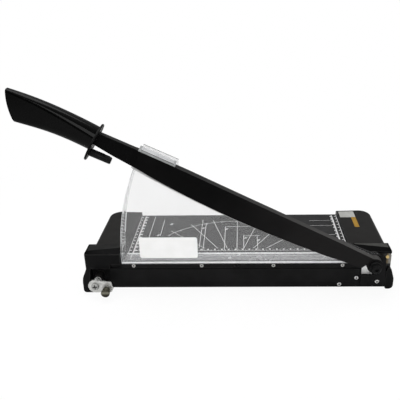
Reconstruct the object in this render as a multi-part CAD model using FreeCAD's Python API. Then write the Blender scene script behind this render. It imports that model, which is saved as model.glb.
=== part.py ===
"""Lever cutter for cards and sheets: table with printed mat, hinged blade arm, clear guard and turning latch.

The machine frame has X along the cutting edge towards the hinge, Y from the edge into the table and Z up from
the bench. X is 0 at the middle of the base and Y is 0 at the cutting edge. export() moves every piece by
FRAME_SHIFT, so that the origin lies on the bench below the middle of the machine with its arm raised.
"""

import FreeCAD, Part
import math
import os

V = FreeCAD.Vector
X_AXIS, Y_AXIS, Z_AXIS = V(1, 0, 0), V(0, 1, 0), V(0, 0, 1)
FRAME_SHIFT = V(31.4, -63.3, 0)

# ---- driving dimensions, millimetres and degrees ----
TABLE_TOP = 42.0             # top of the mat above the bench
TABLE_DEPTH = 158.4          # cutting edge to the back of the tray
MAT_LEFT, MAT_RIGHT = -161.0, 158.0
MAT_THICK = 1.0
SHEET = 2.0                  # wall of the tray
APRON_FACE = 0.6             # front face of the apron, just behind the cutting plane
APRON_LEFT, APRON_RIGHT = -181.0, 169.4
APRON_FOOT = 3.7             # lower edge of the apron

KNIFE_THICK, KNIFE_HIGH = 4.0, 7.2
KNIFE_LEFT, KNIFE_RIGHT = -164.0, 169.4
KNIFE_SCREWS = (-147.2, -52.2, 47.4, 142.9)
KNIFE_SCREW_Z = TABLE_TOP - 2.9
KNIFE_HEAD_R = 2.5

COVER_OUTER = 211.3          # outside of the end covers
COVER_TOP = 49.8             # top at the outer side; it falls by COVER_FALL towards the mat
COVER_FALL = 1.2
COVER_BACK = 160.6
COVER_CORNER, COVER_EDGE = 19.0, 5.0
COVER_WALL = 2.4
LEFT_BLOCK_OUTER, RIGHT_BLOCK_OUTER = -214.9, 210.3
LEFT_BLOCK_FACE, RIGHT_BLOCK_FACE = 0.3, 5.0
BLOCK_TOP = 61.2
BLOCK_BACK = 25.0
LEFT_RIDGE, RIGHT_RIDGE = (3.0, 13.0), (9.0, 21.0)   # Y of the bevel's upper edge, outer and inner end
BEVEL_FOOT = 58.0            # height at which the bevel leaves the block's front face
GROOVE_Z = 56.4
LEFT_BLOCK_INNER, RIGHT_BLOCK_INNER = -166.0, 160.5
LEFT_FOOT_OUTER, RIGHT_FOOT_OUTER = -219.1, 215.0
FOOT_TOP = 34.0
FOOT_BOTTOM = 1.1            # the rubber pads stand out below this
FRONT_PADS = [(-213.5, -203.5), (206.8, 211.4)]

PIVOT = V(183.6, 0, 46.1)    # hinge axis of arm and guard, along Y
ARM_ANGLE = 24.0             # arm above the horizontal in the raised pose
CLOSED_ANGLE = -2.4          # and in the closed pose
ARM_FRONT, ARM_BACK = -15.0, -3.2
NECK_FRONT, NECK_BACK = -12.6, -4.4
HUB_R = 10.8
# upper edge of the arm: distance along and height above the pivot line
ARM_TOP = [(6.2, 8.9), (58.2, 12.5), (113.2, 15.4), (196.2, 19.6), (282.2, 24.2), (346.2, 26.7), (403.2, 28.2)]
BLADE_BACK = -0.2            # shearing face of the moving blade
BLADE_NEAR, BLADE_FAR = 28.2, 350.2
BLADE_SCREWS = (60.0, 150.0, 240.0, 328.0)
BUSH_R, BOLT_R = 6.0, 4.0
RUNNING_GAP = 0.06           # radial clearance of a turning fit

GUARD_FRONT, GUARD_WALL = 1.0, 2.0
GUARD_R = 347.4
GUARD_DEPTH = 26.0           # back edge of rim and foot
GUARD_BOTTOM = 42.5
GUARD_BUSH_R = 8.6
GRIP_NEAR, GRIP_FAR = 299.2, 348.7
GRIP_LOW = (25.4, 27.2)      # lower face of the finger grip above the pivot line at both ends

COLLAR_AT, COLLAR_HIGH = 403.2, 14.0    # middle of the collar along and above the pivot line
COLLAR_THICK, COLLAR_R, COLLAR_LEAN = 2.6, 25.0, 6.6
HANDLE_Y = -9.0
COLLAR_MIDDLE = V(-COLLAR_AT, HANDLE_Y, COLLAR_HIGH)
COLLAR_AXIS = V(-math.cos(math.radians(COLLAR_LEAN)), 0, math.sin(math.radians(COLLAR_LEAN)))
PEG_R, PEG_LENGTH, PEG_DROP, PEG_LEAN = 5.0, 27.4, -0.6, 1.2
TANG_R, TANG_HIGH = 3.9, 18.1

LATCH = V(-198.5, 0, 18.5)   # axis of the latch screw, along Y
LATCH_FACE = -20.0
LATCH_KNOB = V(14.8, 0, -6.5)
LATCH_PIN_R = 1.6

HINGE_PLATE_Y, HINGE_PLATE_THICK = 4.5, 3.0
HINGE_PLATE_X0, HINGE_PLATE_X1, HINGE_PLATE_Z0, HINGE_PLATE_Z1 = 170.8, 210.0, 17.5, 54.3
HINGE_PLATE_SCREWS = [(196.5, 22.5), (204.5, 49.5)]
BRACKET_FRONT, BRACKET_THICK = -1.9, 2.5
BRACKET_SCREW = (191.6, 14.1)
APRON_SCREWS = [(140.1, 8.2), (163.4, 18.7)]
SPRING_SEAT, HEAD_SEAT = -16.3, -21.6    # front faces of the middle and the front washer

BOTTOM_PLATE_TOP = APRON_FOOT + 1.9
BOTTOM_SCREWS = [(x, y) for x in (-140, 0, 140) for y in (24, 136)]
COVER_SCREW_X = (-190.0, 190.0)
COVER_SCREW_Y = (45.0, 135.0)


# ---- helpers ----
def box(x0, x1, y0, y1, z0, z1):
    return Part.makeBox(x1 - x0, y1 - y0, z1 - z0, V(x0, y0, z0))


def rod(start, axis, radius, length):
    return Part.makeCylinder(radius, length, start, axis)


def ring(start, axis, outer, inner, length):
    return rod(start, axis, outer, length).cut(rod(start, axis, inner, length))


def rounded_wire(corners):
    """Closed wire through corners (point, radius); a radius of 0 leaves the corner sharp."""
    edges, joints = [], []
    count = len(corners)
    for i, (point, radius) in enumerate(corners):
        before = (corners[i - 1][0] - point).normalize()
        after = (corners[(i + 1) % count][0] - point).normalize()
        if radius == 0:
            joints.append((point, None, point))
            continue
        half = before.getAngle(after) / 2
        middle = (before + after).normalize()
        reach = radius / math.tan(half)
        crown = point + middle * (radius / math.sin(half) - radius)
        joints.append((point + before * reach, crown, point + after * reach))
    for i, (start, crown, end) in enumerate(joints):
        if crown is not None:
            edges.append(Part.Arc(start, crown, end).toShape())
        following = joints[(i + 1) % count][0]
        if (following - end).Length > 1e-6:
            edges.append(Part.LineSegment(end, following).toShape())
    return Part.Wire(edges)


def side_prism(x0, x1, outline):
    """Extrudes an outline of (y, z, radius) from x0 to x1."""
    wire = rounded_wire([(V(x0, y, z), r) for y, z, r in outline])
    return Part.Face(wire).extrude(V(x1 - x0, 0, 0))


def front_prism(y0, y1, outline):
    """Extrudes an outline of (x, z, radius) from y0 to y1."""
    wire = rounded_wire([(V(x, y0, z), r) for x, z, r in outline])
    return Part.Face(wire).extrude(V(0, y1 - y0, 0))


def plan_prism(z0, z1, outline):
    """Extrudes an outline of (x, y, radius) from z0 to z1."""
    wire = rounded_wire([(V(x, y, z0), r) for x, y, r in outline])
    return Part.Face(wire).extrude(V(0, 0, z1 - z0))


def spline_wire(points, closing):
    """Closed wire of a smooth curve through points and a straight run through the closing points."""
    curve = Part.BSplineCurve()
    curve.interpolate(points)
    run = [points[-1]] + closing + [points[0]]
    lines = [Part.LineSegment(a, b).toShape() for a, b in zip(run, run[1:])]
    return Part.Wire([curve.toShape()] + lines)


def cross_recess(at, axis, width, depth):
    """Phillips recess in a screw head whose top is at 'at'; axis points into the screw."""
    arm = Part.makeBox(width, width / 4, depth, V(-width / 2, -width / 8, 0))
    cross = arm.fuse(arm.rotated(V(), Z_AXIS, 90))
    cross.Placement = FreeCAD.Placement(at, FreeCAD.Rotation(Z_AXIS, axis)) * cross.Placement
    return cross


def pan_screw(at, axis, head_r, head_high, shank_r, length):
    """Pan head screw: 'at' is the seat below the head and axis points along the shank."""
    top = at - axis * head_high
    crown = head_high * 0.45
    head = Part.makeCone(head_r - crown, head_r, crown, top, axis)
    head = head.fuse(rod(top + axis * crown, axis, head_r, head_high - crown))
    screw = head.fuse(rod(at, axis, shank_r, length)).removeSplitter()
    return screw.cut(cross_recess(top, axis, head_r * 1.05, head_high * 0.6))


def flush_screw(at, axis, head_r, shank_r, length):
    """Countersunk screw whose flat top is at 'at'."""
    depth = head_r - shank_r
    cone = Part.makeCone(head_r, shank_r, depth, at, axis)
    screw = cone.fuse(rod(at + axis * depth, axis, shank_r, length - depth))
    return screw.cut(cross_recess(at, axis, head_r * 1.05, depth * 0.6))


def countersink(at, axis, head_r, shank_r, length, gap=0.05):
    depth = head_r - shank_r
    cone = Part.makeCone(head_r + gap, shank_r + gap, depth, at, axis)
    return cone.fuse(rod(at, axis, shank_r + gap, length))


def coil(start, axis, mean_r, wire_r, length, turns):
    """Helical spring; length is measured over the wire's centres. Its wire is six-sided to keep it light."""
    helix = Part.makeHelix(length / turns, length, mean_r)
    corners = [V(mean_r + wire_r * math.cos(math.radians(a)), 0, wire_r * math.sin(math.radians(a)))
               for a in range(0, 361, 60)]
    spring = Part.Wire(helix).makePipeShell([Part.makePolygon(corners)], True, True)
    spring.Placement = FreeCAD.Placement(start, FreeCAD.Rotation(Z_AXIS, axis))
    return spring


def raised(shape):
    """Turns a shape drawn with the arm lying along -X from the origin into the raised pose."""
    shape = shape.copy()
    shape.rotate(V(), Y_AXIS, ARM_ANGLE)
    shape.translate(PIVOT)
    return shape


def arm_top(u):
    """Height of the arm's upper edge over the pivot line, at distance u from the pivot."""
    for (u0, v0), (u1, v1) in zip(ARM_TOP, ARM_TOP[1:]):
        if u <= u1:
            break
    return v0 + (v1 - v0) * (u - u0) / (u1 - u0)


def arm_point(u, v, y):
    """Point at distance u along the raised arm and v above its pivot line."""
    a = math.radians(ARM_ANGLE)
    return PIVOT + V(v * math.sin(a) - u * math.cos(a), y, u * math.sin(a) + v * math.cos(a))


# ---- base ----
def base_tray():
    top = TABLE_TOP - MAT_THICK
    rebate = TABLE_TOP - KNIFE_HIGH
    knife_back = KNIFE_THICK + 0.1
    back = TABLE_DEPTH
    section = [
        (APRON_FACE, APRON_FOOT, 0), (APRON_FACE, rebate - 2.0, 0), (APRON_FACE + 1.6, rebate - 0.3, 0),
        (knife_back, rebate - 0.3, 0), (knife_back, top, 0), (back, top, 4.0), (back, APRON_FOOT, 0),
        (back - SHEET, APRON_FOOT, 0), (back - SHEET, top - SHEET, 2.0),
        (knife_back + SHEET, top - SHEET, 0), (knife_back + SHEET, rebate - 0.3 - SHEET, 0),
        (APRON_FACE + SHEET, rebate - 0.3 - SHEET, 0), (APRON_FACE + SHEET, APRON_FOOT, 0),
    ]
    tray = side_prism(APRON_LEFT, APRON_RIGHT, section)
    for x in range(-150, 151, 50):
        tray = tray.fuse(box(x - 1, x + 1, knife_back + SHEET / 2, back - SHEET, top - 16, top - SHEET))
    for x in COVER_SCREW_X:
        inner = APRON_LEFT if x < 0 else APRON_RIGHT
        tongue = plan_prism(top - SHEET, top, [
            (inner, 30, 0), (x + math.copysign(8, x), 30, 5), (x + math.copysign(8, x), 150, 5), (inner, 150, 0)])
        tray = tray.fuse(tongue)
        for y in COVER_SCREW_Y:
            tray = tray.cut(rod(V(x, y, top - 5), Z_AXIS, 1.7, 8))
    ledge = box(APRON_RIGHT, 203.5, APRON_FACE, APRON_FACE + SHEET, APRON_FOOT, 20.8)
    tray = tray.fuse(ledge)
    for x, y in BOTTOM_SCREWS:
        tray = tray.fuse(rod(V(x, y, BOTTOM_PLATE_TOP), Z_AXIS, 3.6, top - SHEET - BOTTOM_PLATE_TOP))
    for x, y in BOTTOM_SCREWS:
        tray = tray.cut(rod(V(x, y, BOTTOM_PLATE_TOP), Z_AXIS, 1.55, 12))
    for x in KNIFE_SCREWS:
        tray = tray.cut(rod(V(x, 0, KNIFE_SCREW_Z), Y_AXIS, 1.45, 12))
    for x, z in APRON_SCREWS + [BRACKET_SCREW]:
        tray = tray.cut(rod(V(x, 0, z), Y_AXIS, 1.65, 6))
    return tray.removeSplitter()


def bottom_cover():
    z0, z1 = APRON_FOOT + 0.4, BOTTOM_PLATE_TOP
    plate = plan_prism(z0, z1, [
        (APRON_LEFT + 1, APRON_FACE + SHEET + 0.3, 3), (APRON_RIGHT - 1, APRON_FACE + SHEET + 0.3, 3),
        (APRON_RIGHT - 1, TABLE_DEPTH - SHEET - 0.3, 3), (APRON_LEFT + 1, TABLE_DEPTH - SHEET - 0.3, 3)])
    for x, y in BOTTOM_SCREWS:
        plate = plate.cut(rod(V(x, y, 0), Z_AXIS, 1.6, 10))
    return plate


def bottom_screws():
    seat = APRON_FOOT + 0.4
    return [pan_screw(V(x, y, seat), Z_AXIS, 2.8, 1.8, 1.5, 11) for x, y in BOTTOM_SCREWS]


def rubber_feet():
    """Two round feet under the back of the bottom plate, and a pad under each front foot of the covers."""
    seat = APRON_FOOT + 0.4
    feet = [Part.makeCone(8.0, 9.5, seat, V(x, 140, 0), Z_AXIS) for x in (-155, 155)]
    for x0, x1 in FRONT_PADS:
        feet.append(plan_prism(0, FOOT_BOTTOM + 0.9, [(x0, 2, 2), (x1, 2, 2), (x1, 34, 2), (x0, 34, 2)]))
    return feet


def front_pad_pockets():
    """Shallow pockets under both front feet that hold the rubber pads."""
    return Part.makeCompound([box(x0, x1, 2, 34, 0, FOOT_BOTTOM + 0.9) for x0, x1 in FRONT_PADS])


def cutting_mat():
    return plan_prism(TABLE_TOP - MAT_THICK, TABLE_TOP, [
        (MAT_LEFT, KNIFE_THICK + 0.2, 0.5), (MAT_RIGHT, KNIFE_THICK + 0.2, 0.5),
        (MAT_RIGHT, TABLE_DEPTH - 1, 1), (MAT_LEFT, TABLE_DEPTH - 1, 1)])


def bed_knife():
    bottom = TABLE_TOP - KNIFE_HIGH
    knife = side_prism(KNIFE_LEFT, KNIFE_RIGHT, [
        (0, TABLE_TOP, 0), (KNIFE_THICK, TABLE_TOP, 0), (KNIFE_THICK, bottom, 0), (0.8, bottom, 0),
        (0, bottom + 0.8, 0)])
    for x in KNIFE_SCREWS:
        knife = knife.cut(countersink(V(x, 0, KNIFE_SCREW_Z), Y_AXIS, KNIFE_HEAD_R, 1.4, 6))
    slot_x, slot_half, slot_r = -3.3, 3.6, 1.3
    slot = box(slot_x - slot_half, slot_x + slot_half, 0, 1.5, KNIFE_SCREW_Z - slot_r, KNIFE_SCREW_Z + slot_r)
    for x in (slot_x - slot_half, slot_x + slot_half):
        slot = slot.fuse(rod(V(x, 0, KNIFE_SCREW_Z), Y_AXIS, slot_r, 1.5))
    return knife.cut(slot)


def bed_knife_screws():
    return [flush_screw(V(x, 0.05, KNIFE_SCREW_Z), Y_AXIS, KNIFE_HEAD_R, 1.4, 9) for x in KNIFE_SCREWS]


def apron_screws():
    return [pan_screw(V(x, APRON_FACE, z), Y_AXIS, 2.9, 1.2, 1.6, 7) for x, z in APRON_SCREWS]


# ---- end covers ----
def cover_body(side, inset):
    """Outer form of one end cover. A positive inset gives the hollow inside it, open below."""
    inner = side * ((-MAT_LEFT if side < 0 else MAT_RIGHT) + 0.2 + inset)
    outer, back, top = side * (COVER_OUTER - inset), COVER_BACK - inset, COVER_TOP - inset
    front, low = BLOCK_BACK - 4, 4.6 if inset == 0 else 0.0
    panel = plan_prism(low, top + 1, [
        (inner, front, 0), (outer, front, 0), (outer, back, COVER_CORNER - inset), (inner, back, 0)])
    panel = panel.common(front_prism(front, back, [
        (inner, low, 0), (outer, low, 0), (outer, top, 0), (inner, top - COVER_FALL, 0)]))
    rim = [e for e in panel.Edges if e.BoundBox.ZMin > top - COVER_FALL - 0.5
           and e.BoundBox.YMax > front + 1 and abs(e.CenterOfMass.x - inner) > 1]
    return panel.makeFillet(COVER_EDGE - inset, rim)


def block_body(side, inset):
    """Raised block at the front of an end cover, with a bevel along its front top edge."""
    inner = (LEFT_BLOCK_INNER if side < 0 else RIGHT_BLOCK_INNER) + side * inset
    outer = (LEFT_BLOCK_OUTER if side < 0 else RIGHT_BLOCK_OUTER) - side * inset
    face = (LEFT_BLOCK_FACE if side < 0 else RIGHT_BLOCK_FACE) + inset
    top, back = BLOCK_TOP - inset, BLOCK_BACK + 4 - inset
    low = 4.6 if inset == 0 else 0.0
    profile = [(face, low, 0), (back, low, 0), (back, COVER_TOP - 2 - inset, 0),
               (BLOCK_BACK - 1 - inset, top, 2.5), (face, top, 0)]
    block = side_prism(inner, outer, profile)
    block = block.common(front_prism(-10, back + 10, [
        (inner, low, 0), (outer, low, 0), (outer, top, 4.0 - inset), (inner, top, 1.0)]))
    wedge = bevel_wedge(side)
    wedge.translate(V(0, 0, -inset * 1.05))
    return block.cut(wedge)


def bevel_wedge(side):
    """Wedge cut off the block's front top edge; it grows from the outer end to the inner one."""
    inner = (LEFT_BLOCK_INNER if side < 0 else RIGHT_BLOCK_INNER) - side * 2
    outer = (LEFT_BLOCK_OUTER if side < 0 else RIGHT_BLOCK_OUTER) + side * 2
    face = LEFT_BLOCK_FACE if side < 0 else RIGHT_BLOCK_FACE
    ends = []
    for x, ridge in zip((outer, inner), LEFT_RIDGE if side < 0 else RIGHT_RIDGE):
        foot, top = V(x, face, BEVEL_FOOT), V(x, ridge, BLOCK_TOP)
        low, high = foot - (top - foot) * 0.8, top + (top - foot) * 2
        ends.append(Part.makePolygon([low, high, V(x, low.y, high.z), low]))
    return Part.makeLoft(ends, True, True)


def cover_shell(side):
    """Hollow cover with its block; a shallow groove runs below the top edge of the block's front face."""
    shell = cover_body(side, 0).fuse(block_body(side, 0))
    hollow = cover_body(side, COVER_WALL).fuse(block_body(side, COVER_WALL))
    face = LEFT_BLOCK_FACE if side < 0 else RIGHT_BLOCK_FACE
    groove = box(-230, 230, face - 1, face + 0.6, GROOVE_Z, GROOVE_Z + 0.7)
    return shell.cut(hollow).cut(groove)


def add_cover_bosses(cover, side):
    x = COVER_SCREW_X[0] if side < 0 else COVER_SCREW_X[1]
    for y in COVER_SCREW_Y:
        cover = cover.fuse(rod(V(x, y, TABLE_TOP - MAT_THICK), Z_AXIS, 4.0, 6.0))
        cover = cover.cut(rod(V(x, y, TABLE_TOP - MAT_THICK), Z_AXIS, 1.55, 4.4))
    return cover


def left_end_cover():
    """Cover with the latch recess: a niche below the block's front face and a foot at its outer side."""
    cover = cover_shell(-1)
    niche_x0, niche_x1, niche_back, niche_top = -209.6, LEFT_BLOCK_INNER, 12.0, 34.0
    liner = box(niche_x0 - 1, niche_x1, 0.3, niche_back + COVER_WALL, 4.6, niche_top + COVER_WALL)
    cover = cover.fuse(liner)
    cover = cover.fuse(rod(LATCH + V(0, -2, 0), Y_AXIS, 6.5, 12 + COVER_WALL))
    cover = cover.cut(box(niche_x0, niche_x1, -5, niche_back, 0, niche_top).cut(
        rod(LATCH + V(0, -2, 0), Y_AXIS, 6.5, 20)))
    foot = front_prism(-8, 38, [
        (LEFT_FOOT_OUTER, FOOT_BOTTOM, 4), (-201.0, FOOT_BOTTOM, 2.5), (-201.0, 6.0, 1.5), (-209.0, 8.0, 1.5),
        (-209.0, FOOT_TOP, 0), (LEFT_BLOCK_OUTER, FOOT_TOP, 0), (LEFT_FOOT_OUTER, FOOT_TOP - 11, 8)])
    slope = side_prism(-230, -190, [(-9, 16, 0), (-9, 60, 0), (0.3, 60, 0), (0.3, FOOT_TOP - 1, 0)])
    foot = foot.cut(slope)
    cover = cover.fuse(foot)
    cover = cover.cut(box(APRON_LEFT - 0.3, -150, 0, TABLE_DEPTH + 0.2, 0, TABLE_TOP - MAT_THICK + 0.1))
    cover = cover.cut(tongue_room(-1))
    cover = cover.cut(rod(LATCH + V(0, -10, 0), Y_AXIS, 3.0, 22.5))
    cover = cover.cut(front_pad_pockets())
    return add_cover_bosses(cover, -1).removeSplitter()


def right_end_cover():
    """Cover with the hinge recess, open at the front and the outer side, and a foot at its outer side."""
    cover = cover_shell(1)
    plate_back = HINGE_PLATE_Y + HINGE_PLATE_THICK
    recess_top = 54.6
    liner = box(APRON_RIGHT + 1, RIGHT_BLOCK_OUTER, RIGHT_BLOCK_FACE, plate_back + COVER_WALL, 4.6, recess_top + COVER_WALL)
    cover = cover.fuse(liner.common(block_body(1, 0)))
    cover = cover.cut(box(RIGHT_BLOCK_INNER - 1, RIGHT_BLOCK_OUTER + 1, -5, plate_back, 0, recess_top))
    cover = cover.cut(rod(V(PIVOT.x, plate_back, PIVOT.z), Y_AXIS, 8.4, 10))
    foot = front_prism(-0.8, 38, [
        (203.8, FOOT_BOTTOM, 2.5), (RIGHT_FOOT_OUTER, FOOT_BOTTOM, 6), (RIGHT_FOOT_OUTER, 18, 8),
        (RIGHT_BLOCK_OUTER, FOOT_TOP, 3), (206.0, FOOT_TOP, 0), (203.8, 29, 2)])
    cover = cover.fuse(foot.cut(box(198, HINGE_PLATE_X1 + 0.2, 2.8, plate_back, HINGE_PLATE_Z0 - 0.2, 60)))
    cover = cover.cut(box(150, APRON_RIGHT + 0.3, 0, TABLE_DEPTH + 0.2, 0, TABLE_TOP - MAT_THICK + 0.1))
    cover = cover.cut(box(150, 203.6, 0, APRON_FACE + SHEET + 0.1, 0, 21))
    cover = cover.cut(tongue_room(1))
    for x, z in HINGE_PLATE_SCREWS:
        cover = cover.cut(rod(V(x, 0, z), Y_AXIS, 1.65, 16))
    cover = cover.cut(front_pad_pockets())
    return add_cover_bosses(cover, 1).removeSplitter()


def tongue_room(side):
    """Space under the cover for the tray's tongue."""
    x0, x1 = sorted((side * 165.0, side * 198.3))
    return box(x0, x1, 29.7, 150.3, TABLE_TOP - MAT_THICK - SHEET - 0.1, TABLE_TOP - MAT_THICK)


def cover_screws():
    seat = TABLE_TOP - MAT_THICK - SHEET
    return [pan_screw(V(x, y, seat), Z_AXIS, 2.8, 1.8, 1.5, 6) for x in COVER_SCREW_X for y in COVER_SCREW_Y]


def on_right_cover(shape):
    """Moves a flat piece drawn on the XY plane, with the mat's edge as its Y axis, onto the right cover's top."""
    inner = MAT_RIGHT + 0.2
    shape.rotate(V(), Y_AXIS, -math.degrees(math.atan2(COVER_FALL, COVER_OUTER - inner)))
    shape.translate(V(inner, 0, COVER_TOP - COVER_FALL))
    return shape


def cover_label():
    """Blank white label."""
    return on_right_cover(plan_prism(0, 0.2, [(2.6, 132, 1), (26.6, 132, 1), (26.6, 153.5, 1), (2.6, 153.5, 1)]))


def cover_strip():
    """Blank amber strip in front of the label."""
    return on_right_cover(plan_prism(0, 0.2, [
        (19.4, 97, 0.5), (26.4, 97, 0.5), (26.4, 131.6, 0.5), (19.4, 131.6, 0.5)]))


# ---- hinge ----
def hinge_plate():
    plate = front_prism(HINGE_PLATE_Y, HINGE_PLATE_Y + HINGE_PLATE_THICK, [
        (HINGE_PLATE_X0, HINGE_PLATE_Z0, 2), (HINGE_PLATE_X1, HINGE_PLATE_Z0, 2),
        (HINGE_PLATE_X1, HINGE_PLATE_Z1, 3), (HINGE_PLATE_X0 + 4, HINGE_PLATE_Z1, 6),
        (HINGE_PLATE_X0, HINGE_PLATE_Z1 - 12, 6)])
    plate = plate.cut(rod(PIVOT, Y_AXIS, BOLT_R + 0.05, 20))
    for x, z in HINGE_PLATE_SCREWS:
        plate = plate.cut(rod(V(x, 0, z), Y_AXIS, 1.65, 20))
    return plate


def hinge_plate_screws():
    return [pan_screw(V(x, HINGE_PLATE_Y, z), Y_AXIS, 2.6, 0.9, 1.6, 7) for x, z in HINGE_PLATE_SCREWS]


def hinge_bracket():
    """Black plate on the apron with a swan neck that rises beside the pivot and ends in an ear round it."""
    y0, y1 = BRACKET_FRONT, BRACKET_FRONT + BRACKET_THICK
    plate = front_prism(y0, y1, [
        (168.8, 6.6, 2), (203.4, 6.6, 3), (202.0, 44.0, 0), (189.0, 44.0, 0), (190.0, 24.5, 5),
        (168.8, 24.5, 1)])
    ear = rod(V(PIVOT.x, y0, PIVOT.z), Y_AXIS, 10.0, BRACKET_THICK)
    web = front_prism(y0, y1, [(186.0, 38.0, 0), (202.3, 38.0, 0), (200.8, 53.0, 3), (186.0, 55.8, 0)])
    bracket = plate.fuse(ear).fuse(web)
    bracket = bracket.cut(rod(PIVOT + V(0, -10, 0), Y_AXIS, BUSH_R + 0.05, 20))
    bracket = bracket.cut(rod(V(BRACKET_SCREW[0], -10, BRACKET_SCREW[1]), Y_AXIS, 1.65, 20))
    return bracket.removeSplitter()


def bracket_screw():
    x, z = BRACKET_SCREW
    return pan_screw(V(x, BRACKET_FRONT, z), Y_AXIS, 2.9, 1.3, 1.6, 7)


def pivot_bolt():
    head = rod(PIVOT + V(0, HEAD_SEAT - 4, 0), Y_AXIS, 6.2, 4)
    front = [e for e in head.Edges if abs(e.CenterOfMass.y - (HEAD_SEAT - 4)) < 1e-3]
    head = head.makeChamfer(0.9, front)
    bolt = head.fuse(rod(PIVOT + V(0, HEAD_SEAT, 0), Y_AXIS, BOLT_R, 15.5 - HEAD_SEAT))
    socket_r = 2.9
    hexagon = [(PIVOT.x + socket_r * math.cos(math.radians(60 * i)),
                PIVOT.z + socket_r * math.sin(math.radians(60 * i)), 0) for i in range(6)]
    return bolt.cut(front_prism(HEAD_SEAT - 4, HEAD_SEAT - 1.4, hexagon)).removeSplitter()


def pivot_bush():
    return ring(PIVOT + V(0, SPRING_SEAT + 1, 0), Y_AXIS, BUSH_R, BOLT_R + 0.05, HINGE_PLATE_Y - SPRING_SEAT - 1)


def pivot_washers():
    front = ring(PIVOT + V(0, HEAD_SEAT, 0), Y_AXIS, 8.6, BOLT_R + 0.05, 1.0)
    middle = ring(PIVOT + V(0, SPRING_SEAT, 0), Y_AXIS, 9.2, BOLT_R + 0.05, 1.0)
    thrust = ring(PIVOT + V(0, BRACKET_FRONT - 1.0, 0), Y_AXIS, 9.4, BUSH_R + 0.05, 1.0)
    return [front, middle, thrust]


def pivot_nut():
    across = 7.5
    hexagon = [(PIVOT.x + across * math.cos(math.radians(60 * i + 30)),
                PIVOT.z + across * math.sin(math.radians(60 * i + 30)), 0) for i in range(6)]
    y0 = HINGE_PLATE_Y + HINGE_PLATE_THICK
    return front_prism(y0, y0 + 6.5, hexagon).cut(rod(PIVOT, Y_AXIS, BOLT_R + 0.02, 30))


def friction_spring():
    """Short spring that presses the arm's hub against the bracket."""
    wire_r = 0.75
    start, end = HEAD_SEAT + 1.0 + wire_r, SPRING_SEAT - wire_r
    return coil(PIVOT + V(0, start, 0), Y_AXIS, 7.4, wire_r, end - start, 1.6)


# ---- blade arm, drawn lying along -X from the pivot ----
def arm_casting():
    """Bar with a round hub, a belly that follows the blade, a slimmer neck and a tang for the grip."""
    belly = [V(-u, ARM_FRONT, v) for u, v in (
        (15.2, -10.0), (46.2, -11.1), (73.2, -12.5), (105.2, -13.0), (169.2, -12.7), (252.2, -8.1),
        (298.2, -3.2), (323.2, 0.4), (346.2, 4.4))]
    back = [V(-u, ARM_FRONT, v) for u, v in reversed(ARM_TOP[:-1])]
    bar = Part.Face(spline_wire(belly, back)).extrude(V(0, ARM_BACK - ARM_FRONT, 0))
    hub = rod(V(0, ARM_FRONT, 0), Y_AXIS, HUB_R, ARM_BACK - ARM_FRONT)
    bar = bar.fuse(hub)
    neck = front_prism(NECK_FRONT, NECK_BACK, [
        (-342, 4.2, 0), (-342, arm_top(342), 0), (-COLLAR_AT - 4, arm_top(COLLAR_AT), 0),
        (-COLLAR_AT - 4, 12.6, 0), (-377, 7.2, 0), (-354, 4.2, 0)])
    neck = neck.cut(beyond_collar(-COLLAR_THICK / 2))
    ramp_near, ramp_far = 346.2, 354
    ramp = Part.makeLoft([
        rounded_wire([(V(-ramp_near, y, z), 0) for y, z in (
            (ARM_FRONT, 4.4), (ARM_BACK, 4.4), (ARM_BACK, arm_top(ramp_near)), (ARM_FRONT, arm_top(ramp_near)))]),
        rounded_wire([(V(-ramp_far, y, z), 0) for y, z in (
            (NECK_FRONT, 4.2), (NECK_BACK, 4.2), (NECK_BACK, arm_top(ramp_far)), (NECK_FRONT, arm_top(ramp_far)))]),
    ], True, True)
    arm = bar.fuse(neck).fuse(ramp).fuse(tang(TANG_R))
    arm = arm.cut(rod(V(0, -20, 0), Y_AXIS, BUSH_R + RUNNING_GAP, 30))
    for u in BLADE_SCREWS:
        arm = arm.cut(rod(V(-u, -10, blade_screw_height(u)), Y_AXIS, 1.65, 10))
    return raised(arm.removeSplitter())


def beyond_collar(offset):
    """Half space outside the collar's middle plane moved outwards by offset, in the arm's drawing position."""
    space = box(-200, 0, -100, 100, -200, 200)
    space.rotate(V(), Y_AXIS, COLLAR_LEAN)
    space.translate(COLLAR_MIDDLE + COLLAR_AXIS * offset)
    return space


def tang(radius):
    """Round tang that carries collar and grip, or the hole for it."""
    return rod(V(-COLLAR_AT + 6, (NECK_FRONT + NECK_BACK) / 2, TANG_HIGH), X_AXIS * -1, radius, 76)


def blade_screw_height(u):
    return arm_top(u) - 9.5


def moving_blade():
    """Curved blade on the arm's back; its lower edge is ground from the front and shears with its back face."""
    def lower_edge(y, lift):
        return [V(-u, y, v + lift) for u, v in (
            (BLADE_NEAR, -14.2), (68.2, -18.1), (127.2, -19.5), (188.2, -18.9), (252.2, -15.4),
            (303.2, -10.3), (BLADE_FAR, -3.9))]

    top = [V(-BLADE_FAR, 0, 22.0), V(-BLADE_NEAR, 0, 7.1)]
    land, grind = 0.5, 3.6

    def section(y, lift):
        return spline_wire(lower_edge(y, lift), [V(p.x, y, p.z) for p in top])

    back = Part.Face(section(BLADE_BACK - land, 0)).extrude(V(0, land, 0))
    ground = Part.makeLoft([section(BLADE_BACK - land, 0), section(ARM_BACK, grind)], True, True)
    blade = back.fuse(ground)
    for u in BLADE_SCREWS:
        blade = blade.cut(countersink(V(-u, BLADE_BACK, blade_screw_height(u)), Y_AXIS * -1, 3.1, 1.6, 6))
    return raised(blade)


def blade_screws():
    return [raised(flush_screw(V(-u, BLADE_BACK - 0.05, blade_screw_height(u)), Y_AXIS * -1, 3.1, 1.6, 9))
            for u in BLADE_SCREWS]


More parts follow.
